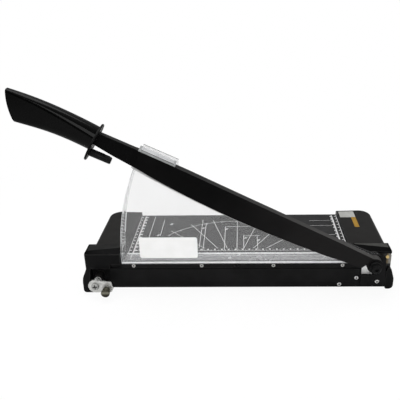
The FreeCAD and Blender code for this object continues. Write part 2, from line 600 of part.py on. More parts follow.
def handle_collar():
    """Round disc with chamfered rims; it leans so that its top lies nearer the pivot."""
    collar = rod(COLLAR_MIDDLE - COLLAR_AXIS * (COLLAR_THICK / 2), COLLAR_AXIS, COLLAR_R, COLLAR_THICK)
    collar = collar.makeChamfer(0.6, [e for e in collar.Edges if e.Length > 100])
    return raised(collar.cut(tang(TANG_R)))


def lock_peg():
    """Peg under the neck that the latch pin holds down; its tip is chamfered and has a seat for the pin."""
    lean = math.radians(PEG_LEAN)
    axis = V(math.cos(lean), 0, -math.sin(lean))
    foot = V(-COLLAR_AT - 3, HANDLE_Y, PEG_DROP)
    peg = rod(foot, axis, PEG_R, PEG_LENGTH + 3)
    tip = [e for e in peg.Edges if (e.CenterOfMass - foot).Length > PEG_LENGTH + 2.9]
    peg = peg.makeChamfer(0.8, tip)
    return raised(peg.cut(beyond_collar(-COLLAR_THICK / 2)).cut(pin_path()))


def pin_path():
    """Room swept by the latch pin while the arm is closed, in the arm's drawing position."""
    at = LATCH - PIVOT
    centre = FreeCAD.Rotation(Y_AXIS, -CLOSED_ANGLE).multVec(at) + V(0, LATCH_FACE, 0)
    reach = LATCH_KNOB.Length - LATCH_PIN_R - 0.35
    path = ring(centre, Y_AXIS, reach + 8, reach, 20)
    return path.common(box(centre.x - 2.8, centre.x + 20, LATCH_FACE, 0, centre.z, centre.z + 30))


def grip_ring(u, low, high, half_width, radius):
    """Section of the grip across the arm's line: a rectangle with large round corners."""
    return rounded_wire([(V(-u, HANDLE_Y + y, z), radius) for y, z in (
        (-half_width, low), (half_width, low), (half_width, high), (-half_width, high))])


def handle_grip():
    """Moulded grip: a loft that tapers in width and rises to a ridge, cut by the collar and by a round slanting end."""
    rings = [
        grip_ring(398.2, 2.7, 33.7, 14.3, 13.4), grip_ring(424.2, 4.8, 36.5, 12.5, 11.3),
        grip_ring(453.2, 5.3, 38.4, 10.4, 8.9), grip_ring(472.2, 4.1, 38.9, 9.0, 7.3),
        grip_ring(498.2, 1.2, 38.3, 7.1, 5.1), grip_ring(528.2, -0.2, 36.1, 5.0, 2.6)]
    grip = Part.makeLoft(rings, True, False)
    y0, y1 = HANDLE_Y - 20, HANDLE_Y + 20
    foot, bulge, head = V(-498.2, y0, 0.0), V(-511.2, y0, 15.6), V(-521.0, y0, 40.0)
    outline = [Part.Arc(foot, bulge, head).toShape(), Part.LineSegment(head, V(-380, y0, 60)).toShape(),
               Part.LineSegment(V(-380, y0, 60), V(-380, y0, -30)).toShape(),
               Part.LineSegment(V(-380, y0, -30), foot).toShape()]
    grip = grip.common(Part.Face(Part.Wire(outline)).extrude(V(0, y1 - y0, 0)))
    grip = grip.common(beyond_collar(COLLAR_THICK / 2))
    return raised(grip.cut(tang(TANG_R)))


# ---- guard ----
def guard_wall():
    """Clear sector about the pivot, with a rim along its arc and a crest behind the finger grip."""
    y0 = GUARD_FRONT
    near, far = arm_point(8, 10, y0), arm_point(291, 10, y0)
    crest_near, crest_far = arm_point(298, 30.5, y0), arm_point(GUARD_R + 10, 32.0, y0)
    outline = Part.makePolygon([
        V(PIVOT.x, y0, GUARD_BOTTOM), near, far, crest_near, crest_far,
        V(PIVOT.x - GUARD_R - 10, y0, crest_far.z), V(PIVOT.x - GUARD_R - 10, y0, GUARD_BOTTOM),
        V(PIVOT.x, y0, GUARD_BOTTOM)])
    region = Part.Face(outline).extrude(V(0, GUARD_DEPTH - y0, 0))
    sheet = rod(PIVOT + V(0, y0, 0), Y_AXIS, GUARD_R, GUARD_WALL).common(region)
    rim = ring(PIVOT + V(0, y0, 0), Y_AXIS, GUARD_R, GUARD_R - GUARD_WALL, GUARD_DEPTH - y0)
    rim = rim.common(region).common(raised(box(-400, 0, y0 - 1, GUARD_DEPTH + 1, -400, -1)))
    rim = rim.cut(cover_corner())
    ear = rod(PIVOT + V(0, y0, 0), Y_AXIS, 13.0, GUARD_WALL)
    wall = sheet.fuse(rim).fuse(ear)
    return wall.cut(rod(PIVOT, Y_AXIS, GUARD_BUSH_R, 30)).removeSplitter()


def cover_corner():
    """Room beside the left end cover that rim and foot of the guard keep clear."""
    return box(MAT_LEFT - 9, MAT_LEFT + 0.4, BLOCK_BACK - 4.6, GUARD_DEPTH + 1, GUARD_BOTTOM - 1, COVER_TOP)


def guard_bush():
    start = PIVOT + V(0, GUARD_FRONT, 0)
    return ring(start, Y_AXIS, GUARD_BUSH_R, BUSH_R + RUNNING_GAP, GUARD_WALL + 0.6)


def guard_foot():
    """Clear strip on the table behind the cutting edge that holds the sheet down."""
    y0, y1 = GUARD_FRONT + GUARD_WALL, GUARD_DEPTH
    left = PIVOT.x - GUARD_R + GUARD_WALL + 0.2
    foot = side_prism(left, 148.0, [
        (y0, GUARD_BOTTOM, 0), (y1, GUARD_BOTTOM, 0), (y1, GUARD_BOTTOM + 3.0, 1.0),
        (y1 - 2, GUARD_BOTTOM + 3.0, 0.8), (y1 - 2.6, GUARD_BOTTOM + 1.8, 0.5),
        (y0 + 3, GUARD_BOTTOM + 1.8, 1.5), (y0, GUARD_BOTTOM + 4.4, 0)])
    return foot.cut(cover_corner())


def guard_grip():
    """Ribbed finger plate that reaches forward over the arm's top."""
    thick, rib, rib_width = 2.2, 1.0, 1.5
    y0, y1 = ARM_FRONT - 0.4, GUARD_FRONT
    low_near, low_far = GRIP_LOW
    plate = front_prism(y0, y1, [
        (-GRIP_FAR, low_far, 0), (-GRIP_NEAR, low_near, 0), (-GRIP_NEAR, low_near + thick, 0.8),
        (-GRIP_FAR, low_far + thick, 0.8)])
    ribs = 5
    pitch = (y1 - y0 - 2.2) / ribs
    for i in range(ribs):
        y = y0 + 0.6 + i * pitch
        plate = plate.fuse(front_prism(y, y + rib_width, [
            (-GRIP_FAR + 1.5, low_far + thick - 0.3, 0), (-GRIP_NEAR - 1.5, low_near + thick - 0.3, 0),
            (-GRIP_NEAR - 2.5, low_near + thick + rib, 0), (-GRIP_FAR + 2.5, low_far + thick + rib, 0)]))
    return raised(plate.removeSplitter())


def guard_label():
    """Blank white label on the guard."""
    x0, x1, z0, z1 = -137.0, -57.0, 51.0, 83.0
    return front_prism(GUARD_FRONT - 0.2, GUARD_FRONT, [(x0, z0, 3), (x1, z0, 3), (x1, z1, 3), (x0, z1, 3)])


# ---- latch ----
def latch_screw():
    return pan_screw(LATCH + V(0, LATCH_FACE - 0.15, 0), Y_AXIS, 5.2, 2.4, 3.0 - 0.02, 29.5)


def latch_spring():
    wire_r = 0.65
    start, end = LATCH_FACE + 5.2 + wire_r, -2.0 - wire_r
    return coil(LATCH + V(0, start, 0), Y_AXIS, 4.4, wire_r, end - start, 4)


def latch_plate():
    y0, y1 = LATCH_FACE, LATCH_FACE + 2.0
    plate = front_prism(y0, y1, [
        (LATCH.x, LATCH.z - 9.7, 0), (LATCH.x + 22.2, LATCH.z - 9.0, 1.5), (LATCH.x + 24.5, LATCH.z - 3.8, 2),
        (LATCH.x + 22.4, LATCH.z + 6.4, 1.5), (LATCH.x, LATCH.z + 9.0, 0)])
    plate = plate.fuse(rod(LATCH + V(0, y0, 0), Y_AXIS, 9.8, 2.0))
    plate = plate.fuse(rod(LATCH + V(0, y1, 0), Y_AXIS, 5.4, 2.9))
    plate = plate.cut(rod(LATCH + V(0, y0 - 1, 0), Y_AXIS, 3.0 + RUNNING_GAP, 12))
    plate = plate.cut(rod(LATCH + LATCH_KNOB + V(0, y0 - 1, 0), Y_AXIS, LATCH_PIN_R, 12))
    return plate.removeSplitter()


def latch_knob():
    """Turned knob with a waist between two flanges."""
    face = LATCH_FACE
    profile = [V(0, 0, 0), V(5.2, 0, 0), V(5.6, 0, 0.6), V(5.6, 0, 2.4), V(4.9, 0, 3.4), V(4.9, 0, 4.8),
               V(6.0, 0, 5.8), V(6.0, 0, 8.2), V(5.2, 0, 9.0), V(0, 0, 9.0), V(0, 0, 0)]
    knob = Part.Face(Part.makePolygon(profile)).revolve(V(), Z_AXIS, 360)
    knob.Placement = FreeCAD.Placement(LATCH + LATCH_KNOB + V(0, face, 0), FreeCAD.Rotation(Z_AXIS, Y_AXIS * -1))
    return knob


def latch_pin():
    """Pin behind the knob; with the arm down and the latch turned up it lies over the lock peg."""
    return rod(LATCH + LATCH_KNOB + V(0, LATCH_FACE, 0), Y_AXIS, LATCH_PIN_R, 14.5)


# ---- export ----
PIECES = [
    base_tray, bottom_cover, bottom_screws, rubber_feet, cutting_mat, bed_knife, bed_knife_screws, apron_screws,
    left_end_cover, right_end_cover, cover_screws, cover_label, cover_strip,
    hinge_plate, hinge_plate_screws, hinge_bracket, bracket_screw,
    pivot_bolt, pivot_bush, pivot_washers, pivot_nut, friction_spring,
    arm_casting, moving_blade, blade_screws, handle_collar, lock_peg, handle_grip,
    guard_wall, guard_bush, guard_foot, guard_grip, guard_label,
    latch_screw, latch_spring, latch_plate, latch_knob, latch_pin,
]


def export(name, made):
    shape = Part.makeCompound(made) if isinstance(made, list) else made
    shape = shape.copy()
    shape.translate(FRAME_SHIFT)
    shape.exportStep(f"parts/{name}.step")
    return shape


os.makedirs("parts", exist_ok=True)
whole = FreeCAD.BoundBox()
for maker in PIECES:
    piece = export(maker.__name__, maker())
    whole.add(piece.BoundBox)
    print(f"{maker.__name__:20s} solids {len(piece.Solids)} valid {piece.isValid()} volume {piece.Volume:.0f}")
print(f"box {whole.XMin:.2f} {whole.XMax:.2f}  {whole.YMin:.2f} {whole.YMax:.2f}  {whole.ZMin:.2f} {whole.ZMax:.2f}")
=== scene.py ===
# %% [markdown]
# # A lever cutter for cards and sheets
# This notebook dresses a finished model of a desk cutter. The model arrives as a fixed frame of solid nodes, and
# each cell adds one thing to it: a camera, the light, a finish, or a printed detail. Lengths are in metres, Z is up,
# X runs along the cutting edge towards the hinge, and Y runs from the cutting edge across the table.

import math

import bmesh
import bpy
from mathutils import Matrix, Vector


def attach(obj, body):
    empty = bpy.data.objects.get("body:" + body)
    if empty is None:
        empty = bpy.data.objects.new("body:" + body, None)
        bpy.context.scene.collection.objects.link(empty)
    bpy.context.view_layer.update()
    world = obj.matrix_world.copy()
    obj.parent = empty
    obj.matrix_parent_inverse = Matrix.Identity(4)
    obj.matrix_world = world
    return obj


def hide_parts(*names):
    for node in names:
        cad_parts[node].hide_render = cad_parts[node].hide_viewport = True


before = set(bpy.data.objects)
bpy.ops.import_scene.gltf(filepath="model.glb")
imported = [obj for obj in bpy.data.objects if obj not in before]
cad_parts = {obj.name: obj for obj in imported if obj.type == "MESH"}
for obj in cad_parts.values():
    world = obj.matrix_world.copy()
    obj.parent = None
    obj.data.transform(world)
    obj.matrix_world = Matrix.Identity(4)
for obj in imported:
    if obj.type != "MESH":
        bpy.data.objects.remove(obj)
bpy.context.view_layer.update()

# %% [markdown]
# ## The machine's own measures
# The table is described in millimetres from the middle of the base and from the cutting edge, as a maker would
# write it. One helper turns such a point into the frame's metres, so that printed lines and labels are given by
# the numbers one could read off the real table with a ruler. The two axes that things turn about are named here.

# %% Machine millimetres to frame metres
SHIFT = Vector((31.4, -63.3, 0.0))
MAT_TOP = 42.0
PIVOT = (183.6, 46.1)
LATCH_AXIS = (-198.5, 18.5)


def at(x, y, z):
    """Point in the frame, in metres, from the machine's millimetres."""
    return (Vector((x, y, z)) + SHIFT) / 1000


print("middle of the cutting edge is at", tuple(round(c, 4) for c in at(0, 0, MAT_TOP)))

# %% [markdown]
# ## The camera
# A product picture of such a machine is taken from a little above the front, with a normal lens. The camera is
# placed by its position and three angles. Building the rotation from its axes keeps the small roll exact, which
# is harder with a tracking constraint. The lens looks a little beside the machine, so the sensor is shifted.

# %% Create the camera
CAMERA_AT = (5.3, -656.1, 429.3)
YAW, PITCH, ROLL = -0.02535, 0.41687, -0.0165
FOCAL_PIXELS, PICTURE = 545.8, 400
SHIFT_PIXELS = 30

look = Vector((math.sin(YAW) * math.cos(PITCH), math.cos(YAW) * math.cos(PITCH), -math.sin(PITCH)))
level = Vector((math.cos(YAW), -math.sin(YAW), 0))
upright = level.cross(look)
right = level * math.cos(ROLL) + upright * math.sin(ROLL)
up = upright * math.cos(ROLL) - level * math.sin(ROLL)

lens = bpy.data.cameras.new("camera")
lens.sensor_width = 36
lens.lens = FOCAL_PIXELS / PICTURE * lens.sensor_width
lens.shift_x = -SHIFT_PIXELS / PICTURE
lens.clip_end = 50
camera = bpy.data.objects.new("camera", lens)
turn = Matrix((right, up, -look)).transposed().to_4x4()
camera.matrix_world = Matrix.Translation(at(*CAMERA_AT)) @ turn
bpy.context.scene.collection.objects.link(camera)
bpy.context.scene.camera = camera
print(f"lens {lens.lens:.1f} mm, shift {lens.shift_x:.3f}")

# %% [markdown]
# ## Small helpers for nodes
# The same few nodes come back in the light and in every finish: a value moved from one range to another, a sum,
# a mix of two shaders, and one axis of a position. A helper for each keeps the later cells to what they are
# about. All of them return a socket, ready to be plugged in.

# %% Node helpers
def remap(tree, source, low, high, out_low=0.0, out_high=1.0, smooth=False):
    """Moves source from the range low..high to out_low..out_high, and stops at the ends."""
    node = tree.nodes.new("ShaderNodeMapRange")
    node.interpolation_type = "SMOOTHSTEP" if smooth else "LINEAR"
    for name, value in (("From Min", low), ("From Max", high), ("To Min", out_low), ("To Max", out_high)):
        node.inputs[name].default_value = value
    tree.links.new(source, node.inputs["Value"])
    return node.outputs[0]


def calculate(tree, operation, *values):
    """Math node on sockets or numbers."""
    node = tree.nodes.new("ShaderNodeMath")
    node.operation = operation
    for socket, value in zip(node.inputs, values):
        if hasattr(value, "links"):
            tree.links.new(value, socket)
        else:
            socket.default_value = value
    return node.outputs[0]


def mix_shaders(tree, share, first, second):
    node = tree.nodes.new("ShaderNodeMixShader")
    for socket, source in zip(node.inputs, (share, first, second)):
        tree.links.new(source, socket)
    return node.outputs[0]


def axis_of(tree, source, axis):
    """The X, Y or Z of a position or direction."""
    node = tree.nodes.new("ShaderNodeSeparateXYZ")
    tree.links.new(source, node.inputs[0])
    return node.outputs[axis]


print("node helpers ready")

# %% [markdown]
# ## The studio's walls
# Black parts are drawn by what they mirror, so the room matters more than the lamps' strength. The world is a
# light sweep behind and above the machine and a dim room in front of it. The lens always sees plain white, and so
# do rays that pass through the clear guard towards the sweep. An image of a studio would do the same, but a
# gradient over the world's Y axis has nothing to load and stays editable.

# %% World
SWEEP = dict(low=-0.35, high=0.75, out_low=0.08, out_high=0.45, smooth=True)
WHITE_THROUGH_GUARD = dict(low=-0.1, high=0.45)

world = bpy.data.worlds.new("studio")
bpy.context.scene.world = world
world.use_nodes = True
tree = world.node_tree
tree.nodes.clear()
backwards = axis_of(tree, tree.nodes.new("ShaderNodeTexCoord").outputs["Generated"], "Y")
room, white = (tree.nodes.new("ShaderNodeBackground") for _ in range(2))
for shade in (room, white):
    shade.inputs["Color"].default_value = (1, 1, 1, 1)
tree.links.new(remap(tree, backwards, **SWEEP), room.inputs["Strength"])
rays = tree.nodes.new("ShaderNodeLightPath")
through = calculate(tree, "MULTIPLY", rays.outputs["Is Transmission Ray"],
                    remap(tree, backwards, **WHITE_THROUGH_GUARD))
seen = calculate(tree, "MAXIMUM", rays.outputs["Is Camera Ray"], through)
walls = mix_shaders(tree, seen, room.outputs[0], white.outputs[0])
tree.links.new(walls, tree.nodes.new("ShaderNodeOutputWorld").inputs[0])
print("world nodes:", len(tree.nodes))

# %% [markdown]
# ## The lamps
# Five large soft lamps light the machine. The top lamp shapes the upper faces, the front lamp fills the apron and
# the screws, and the two side lamps and the rim lamp mark the rounded edges. They are square area lamps, since a
# soft box gives the long even highlights that a polished grip shows.

# %% Soft lamps
def softbox(name, spot, aim, size, watts):
    """Square area lamp at spot, turned to face aim."""
    lamp = bpy.data.lights.new(name, "AREA")
    lamp.size = size
    lamp.energy = watts
    thing = bpy.data.objects.new(name, lamp)
    thing.location = spot
    thing.rotation_euler = (Vector(aim) - Vector(spot)).to_track_quat("-Z", "Y").to_euler()
    bpy.context.scene.collection.objects.link(thing)


softbox("lamp_top", (-0.3, 0.25, 1.7), (0, 0.05, 0.05), 1.3, 25)
softbox("lamp_left", (-1.5, -0.5, 1.1), (0, 0, 0.05), 0.9, 6)
softbox("lamp_right", (1.4, -0.9, 0.9), (0, 0, 0.05), 0.8, 4)
softbox("lamp_rim", (1.2, 0.9, 0.7), (0.2, 0.05, 0.05), 0.7, 3)
softbox("lamp_front", (0.1, -1.9, 1.1), (0, 0, 0.08), 1.1, 18)
print("lamps:", len(bpy.data.lights))

# %% [markdown]
# ## Finishes from a few nodes
# Most finishes here are one Principled shader with three disturbed inputs: the colour drifts a little, the gloss
# drifts a little, and a fine bump gives the grain. These helpers add one disturbance each, all from noise in
# object space, so that nothing needs unwrapping and the scale is in real millimetres.

# %% A finish and its noise
def new_finish(name, color, roughness, metallic=0.0):
    """Material with a Principled shader; returns it with its node tree and shader."""
    made = bpy.data.materials.new(name)
    made.use_nodes = True
    tree = made.node_tree
    shader = tree.nodes["Principled BSDF"]
    shader.inputs["Base Color"].default_value = (*color, 1)
    shader.inputs["Roughness"].default_value = roughness
    shader.inputs["Metallic"].default_value = metallic
    made.diffuse_color = (*color, 1)
    return made, tree, shader


def noise_at(tree, size_mm, detail=3.0, stretch=(1, 1, 1)):
    """Noise whose blobs are about size_mm wide, read in object space."""
    place = tree.nodes.new("ShaderNodeTexCoord")
    scale = tree.nodes.new("ShaderNodeMapping")
    scale.inputs["Scale"].default_value = stretch
    noise = tree.nodes.new("ShaderNodeTexNoise")
    noise.inputs["Scale"].default_value = 1000 / size_mm
    noise.inputs["Detail"].default_value = detail
    tree.links.new(place.outputs["Object"], scale.inputs[0])
    tree.links.new(scale.outputs[0], noise.inputs["Vector"])
    return noise.outputs["Fac"]


print("finish helpers ready")

# %% [markdown]
# ## Drift and grain
# No real surface has one colour and one gloss. A ramp between two near colours, a gloss that wanders between two
# values and a bump give each finish its own grain, and one more helper lays a finish on the nodes that have it.

# %% Drift of colour and gloss, and grain
def drift_color(tree, shader, noise, dark, light):
    ramp = tree.nodes.new("ShaderNodeValToRGB")
    for mark, spot, tint in zip(ramp.color_ramp.elements, (0.35, 0.65), (dark, light)):
        mark.position = spot
        mark.color = (*tint, 1)
    tree.links.new(noise, ramp.inputs[0])
    tree.links.new(ramp.outputs[0], shader.inputs["Base Color"])


def drift_gloss(tree, shader, noise, low, high):
    tree.links.new(remap(tree, noise, 0.3, 0.7, low, high), shader.inputs["Roughness"])


def grain(tree, shader, noise, height_mm, strength, edge_mm=0.0):
    """Bump of that height; edge_mm above zero also rounds sharp edges in the shading."""
    bump = tree.nodes.new("ShaderNodeBump")
    bump.inputs["Distance"].default_value = height_mm / 1000
    bump.inputs["Strength"].default_value = strength
    tree.links.new(noise, bump.inputs["Height"])
    if edge_mm:
        bevel = tree.nodes.new("ShaderNodeBevel")
        bevel.samples = 4
        bevel.inputs["Radius"].default_value = edge_mm / 1000
        tree.links.new(bevel.outputs[0], bump.inputs["Normal"])
    tree.links.new(bump.outputs[0], shader.inputs["Normal"])


def dress(made, *names):
    """Gives CAD nodes that finish."""
    for name in names:
        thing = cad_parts[name]
        thing.data.materials.clear()
        thing.data.materials.append(made)
        for face in thing.data.polygons:
            face.material_index = 0
    print(made.name, "on", ", ".join(names))


print("drift and grain ready")

# %% [markdown]
# ## Black paint on the fixed metal parts
# The tray, the bed knife and the hinge bracket are painted satin black, and the pivot's bolt, washers and spring
# are blackened. Powder paint has a faint orange peel a few tenths of a millimetre wide, and rounds every sheared
# edge a little, which is where it catches light. A bevel in the shading does that without touching the mesh.

# %% Satin black paint
PAINT_PEEL_MM, PAINT_EDGE_MM = 0.5, 0.5

paint, tree, shader = new_finish("satin_black_paint", (0.0025, 0.0025, 0.0028), 0.42)
shader.inputs["Specular IOR Level"].default_value = 0.06
drift_color(tree, shader, noise_at(tree, 25), (0.0055, 0.0055, 0.0057), (0.0085, 0.0085, 0.0088))
drift_gloss(tree, shader, noise_at(tree, 12), 0.36, 0.48)
grain(tree, shader, noise_at(tree, PAINT_PEEL_MM, 2), 0.05, 0.25, PAINT_EDGE_MM)
dress(paint, "base_tray", "hinge_bracket", "bed_knife", "lock_peg", "bottom_cover",
      "pivot_bolt", "pivot_washers", "friction_spring")

# %% [markdown]
# ## Painted top light and edge highlights
# A black machine looks lighter on the faces that look up and along its sharp edges, where the light falls and
# glints. Both are painted into the colour here: painted top light goes by the normal's height, and painted edge
# highlights compare the true normal with a rounded one, which part only near an edge. Both lay a second colour over
# the one that is there, which a painted mask could do too, but not at every scale.

# %% Mixed colours, painted top light and painted edge highlights
def mix_color(tree, share, first, second):
    """Colour between two colours or colour outputs."""
    mix = tree.nodes.new("ShaderNodeMix")
    mix.data_type = "RGBA"
    for slot, value in ((0, share), (6, first), (7, second)):
        if hasattr(value, "links"):
            tree.links.new(value, mix.inputs[slot])
        else:
            mix.inputs[slot].default_value = value
    return mix.outputs[2]


def lay_over(tree, shader, share, color):
    """That colour over the base colour already linked, by share."""
    below = shader.inputs["Base Color"].links[0].from_socket
    tree.links.new(mix_color(tree, share, below, color), shader.inputs["Base Color"])


def top_light_paint(tree, shader, color):
    """Painted top light: a lighter colour on every face that looks up."""
    facing = tree.nodes.new("ShaderNodeNewGeometry").outputs["Normal"]
    lay_over(tree, shader, remap(tree, axis_of(tree, facing, "Z"), 0.35, 0.85), color)


def edge_highlight_paint(tree, shader, width_mm, color):
    """Painted highlight: lighter colour on sharp edges, where a rounded normal leaves the true one."""
    bevel = tree.nodes.new("ShaderNodeBevel")
    bevel.samples = 6
    bevel.inputs["Radius"].default_value = width_mm / 1000
    agree = tree.nodes.new("ShaderNodeVectorMath")
    agree.operation = "DOT_PRODUCT"
    tree.links.new(bevel.outputs[0], agree.inputs[0])
    tree.links.new(tree.nodes.new("ShaderNodeNewGeometry").outputs["Normal"], agree.inputs[1])
    lay_over(tree, shader, remap(tree, agree.outputs["Value"], 0.98, 0.85), color)


print("dust and wear ready")

# %% [markdown]
# ## The arm's paint
# The arm has the same paint. Its colour is painted from deep black towards the grip to grey near the hinge, a
# painted reflection that grows along the arm. A ramp along the arm sets the colour, and noise breaks it up.

# %% Position along the machine
def along(tree, axis, start_mm, stop_mm, smooth=False):
    """0 to 1 between two machine positions on the X or Z axis, read in object space."""
    k = "XYZ".index(axis)
    start, stop = (at(*(mm if i == k else 0 for i in range(3)))[k] for mm in (start_mm, stop_mm))
    place = tree.nodes.new("ShaderNodeTexCoord").outputs["Object"]
    return remap(tree, axis_of(tree, place, axis), start, stop, smooth=smooth)


print("arm's hinge at X", round(at(PIVOT[0], 0, 0).x, 4), "m")

# %% Arm paint, with a painted reflection near the hinge
arm_paint, tree, shader = new_finish("arm_paint", (0.003, 0.003, 0.0032), 0.42)
shader.inputs["Specular IOR Level"].default_value = 0.03
# Painted reflection: grey towards the hinge, deep black towards the grip.
hinge_reflection = along(tree, "X", -60, 175, smooth=True)
uneven = calculate(tree, "MULTIPLY_ADD", noise_at(tree, 30), 0.35, hinge_reflection)
ramp = tree.nodes.new("ShaderNodeValToRGB")
for mark, spot, tint in zip(ramp.color_ramp.elements, (0.1, 1.0),
                            ((0.0015, 0.0015, 0.0016, 1), (0.012, 0.0115, 0.0115, 1))):
    mark.position = spot
    mark.color = tint
tree.links.new(uneven, ramp.inputs[0])
tree.links.new(ramp.outputs[0], shader.inputs["Base Color"])
# Painted top light on faces that look up, greyer towards the hinge.
top_light_paint(tree, shader, mix_color(tree, hinge_reflection, (0.022, 0.022, 0.022, 1), (0.05, 0.049, 0.048, 1)))
# Painted highlight on the sharp edges.
edge_highlight_paint(tree, shader, 0.8, (0.02, 0.02, 0.02, 1))
drift_gloss(tree, shader, noise_at(tree, 12), 0.36, 0.48)
grain(tree, shader, noise_at(tree, PAINT_PEEL_MM, 2), 0.05, 0.25, PAINT_EDGE_MM)
dress(arm_paint, "arm_casting", "handle_collar")

# %% [markdown]
# ## Moulded covers
# The end covers are injection moulded in a tool with a fine spark-eroded grain, so they are a little greyer and
# softer in gloss than paint. The grain is a small dense bump, and the roughness drifts where the melt flowed.

# %% Black moulded plastic
PLASTIC_GRAIN_MM, PLASTIC_EDGE_MM = 0.35, 0.6

plastic, tree, shader = new_finish("black_moulded_plastic", (0.003, 0.003, 0.0033), 0.42)
shader.inputs["Specular IOR Level"].default_value = 0.07
drift_color(tree, shader, noise_at(tree, 40), (0.003, 0.003, 0.0032), (0.005, 0.005, 0.0052))
# Painted top light on faces that look up.
top_light_paint(tree, shader, (0.012, 0.0115, 0.011, 1))
# Painted highlight on the sharp edges.
edge_highlight_paint(tree, shader, 1.2, (0.035, 0.035, 0.034, 1))
drift_gloss(tree, shader, noise_at(tree, 18), 0.38, 0.5)
grain(tree, shader, noise_at(tree, PLASTIC_GRAIN_MM, 2), 0.04, 0.3, PLASTIC_EDGE_MM)
dress(plastic, "left_end_cover", "right_end_cover", "guard_bush")

# %% [markdown]
# ## Tops of the raised blocks
# Each cover has a raised block at its front. Its flat top is painted lighter, a painted highlight, and the bevels
# round it are painted darker, a painted shade; the right block's top is painted much lighter than the left one's.
# The faces are told apart by their height and by how level they lie, so that one mesh carries three finishes.

# %% Painted shade on the bevels and painted light on the tops
BEVEL_FROM, FLAT_FROM = 0.0575, 0.0611

# Painted shade: the bevels are darker than the rest of the cover.
shaded_bevel_plastic, tree, shader = new_finish("black_plastic_bevel_painted_shade", (0.0015, 0.0015, 0.0017), 0.45)
shader.inputs["Specular IOR Level"].default_value = 0.03
drift_color(tree, shader, noise_at(tree, 40), (0.0012, 0.0012, 0.0013), (0.0025, 0.0025, 0.0026))
grain(tree, shader, noise_at(tree, PLASTIC_GRAIN_MM, 2), 0.04, 0.3, PLASTIC_EDGE_MM)
# Painted light: the flat tops are lighter, the right block's much lighter than the left one's.
for name, dark, light in (("left_end_cover", 0.006, 0.012), ("right_end_cover", 0.034, 0.052)):
    lit_top_plastic, tree, shader = new_finish(name + "_painted_lit_top", (light, light, light), 0.5)
    shader.inputs["Specular IOR Level"].default_value = 0.1
    drift_color(tree, shader, noise_at(tree, 15), (dark, dark, dark * 0.94), (light, light, light * 0.94))
    grain(tree, shader, noise_at(tree, PLASTIC_GRAIN_MM, 2), 0.04, 0.3, PLASTIC_EDGE_MM)
    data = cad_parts[name].data
    data.materials.append(shaded_bevel_plastic)
    data.materials.append(lit_top_plastic)
    counts = [0, 0, 0]
    for face in data.polygons:
        if face.center.z > BEVEL_FROM and face.normal.z > 0.5:
            face.material_index = 2 if face.center.z > FLAT_FROM and face.normal.z > 0.999 else 1
        counts[face.material_index] += 1
    print(name, "faces: cover, bevel, top =", counts)

# %% [markdown]
# ## The glossy grip
# The grip is a polished moulding. A thin clear coat over a nearly black base gives the sharp highlight along its
# top edge. Only a very long, shallow wave disturbs it, as on any thick moulding.

# %% Glossy black grip
gloss, tree, shader = new_finish("glossy_black_grip", (0.002, 0.002, 0.002), 0.2)
shader.inputs["Specular IOR Level"].default_value = 0.02
shader.inputs["Coat Weight"].default_value = 0.12
shader.inputs["Coat Roughness"].default_value = 0.06
drift_color(tree, shader, noise_at(tree, 30), (0.0006, 0.0006, 0.0006), (0.0014, 0.0014, 0.0014))
# Painted reflection: faces that look up are made lighter, as the grip's top mirrors the room.
top_light_paint(tree, shader, (0.006, 0.006, 0.006, 1))
drift_gloss(tree, shader, noise_at(tree, 20), 0.16, 0.26)
grain(tree, shader, noise_at(tree, 14, 1), 0.12, 0.12, 0.4)
dress(gloss, "handle_grip")

# %% [markdown]
# ## Zinc on screws and plates
# Screws, latch and plates are zinc plated steel: a metal with uneven gloss, small stains and fine scratches. The
# big latch plate is duller, and the latch's screw, turned often, is worn darker. All are the same recipe with
# other values, so one function makes them.

# %% Zinc plate
def zinc_finish(name, color, dark, light, stain_mm, gloss_mm, low, high, edge_mm):
    """Plated steel whose colour drifts over stain_mm and whose gloss drifts over gloss_mm."""
    made, tree, shader = new_finish(name, color, 0.42, 1.0)
    drift_color(tree, shader, noise_at(tree, stain_mm), dark, light)
    drift_gloss(tree, shader, noise_at(tree, gloss_mm), low, high)
    grain(tree, shader, noise_at(tree, 0.3), 0.02, 0.3, edge_mm)
    return made


zinc = zinc_finish("zinc_plate", (0.72, 0.72, 0.71), (0.62, 0.62, 0.60), (0.78, 0.78, 0.78), 3, 1.2, 0.22, 0.42, 0.2)
dress(zinc, "latch_pin", "pivot_nut", "latch_spring", "bottom_screws", "apron_screws", "cover_screws",
      "bracket_screw", "blade_screws")
dull_zinc = zinc_finish("dull_zinc_plate", (0.54, 0.54, 0.525), (0.48, 0.48, 0.465), (0.61, 0.61, 0.59),
                        5, 1.5, 0.36, 0.52, 0.3)
dress(dull_zinc, "latch_plate", "bed_knife_screws")
worn_zinc = zinc_finish("worn_zinc_screw", (0.38, 0.38, 0.37), (0.33, 0.33, 0.32), (0.43, 0.43, 0.42),
                        3, 1.5, 0.36, 0.52, 0.3)
dress(worn_zinc, "latch_screw")

# %% [markdown]
# ## Painted shade in the screw heads
# The drive of a small screw reads as a dark hexagon or cross, since it lies in shade. The faces inside each
# drive get a dark finish of painted shade, and a plate two hundredths of a millimetre thick, also painted shade,
# gives the outline its sharp corners. Cutting sharp sockets into the heads is the other way, but at this size
# only their dark outline can be seen.

# %% Painted shade inside the drives
# Painted shade: the dark finish for the faces inside the drives.
recess_shade, tree, shader = new_finish("painted_recess_shade", (0.02, 0.02, 0.02), 0.6, 0.5)
drift_color(tree, shader, noise_at(tree, 1), (0.015, 0.015, 0.015), (0.03, 0.03, 0.028))


DRIVE_SHARE = 0.62
BEHIND_FRONT = 0.00012


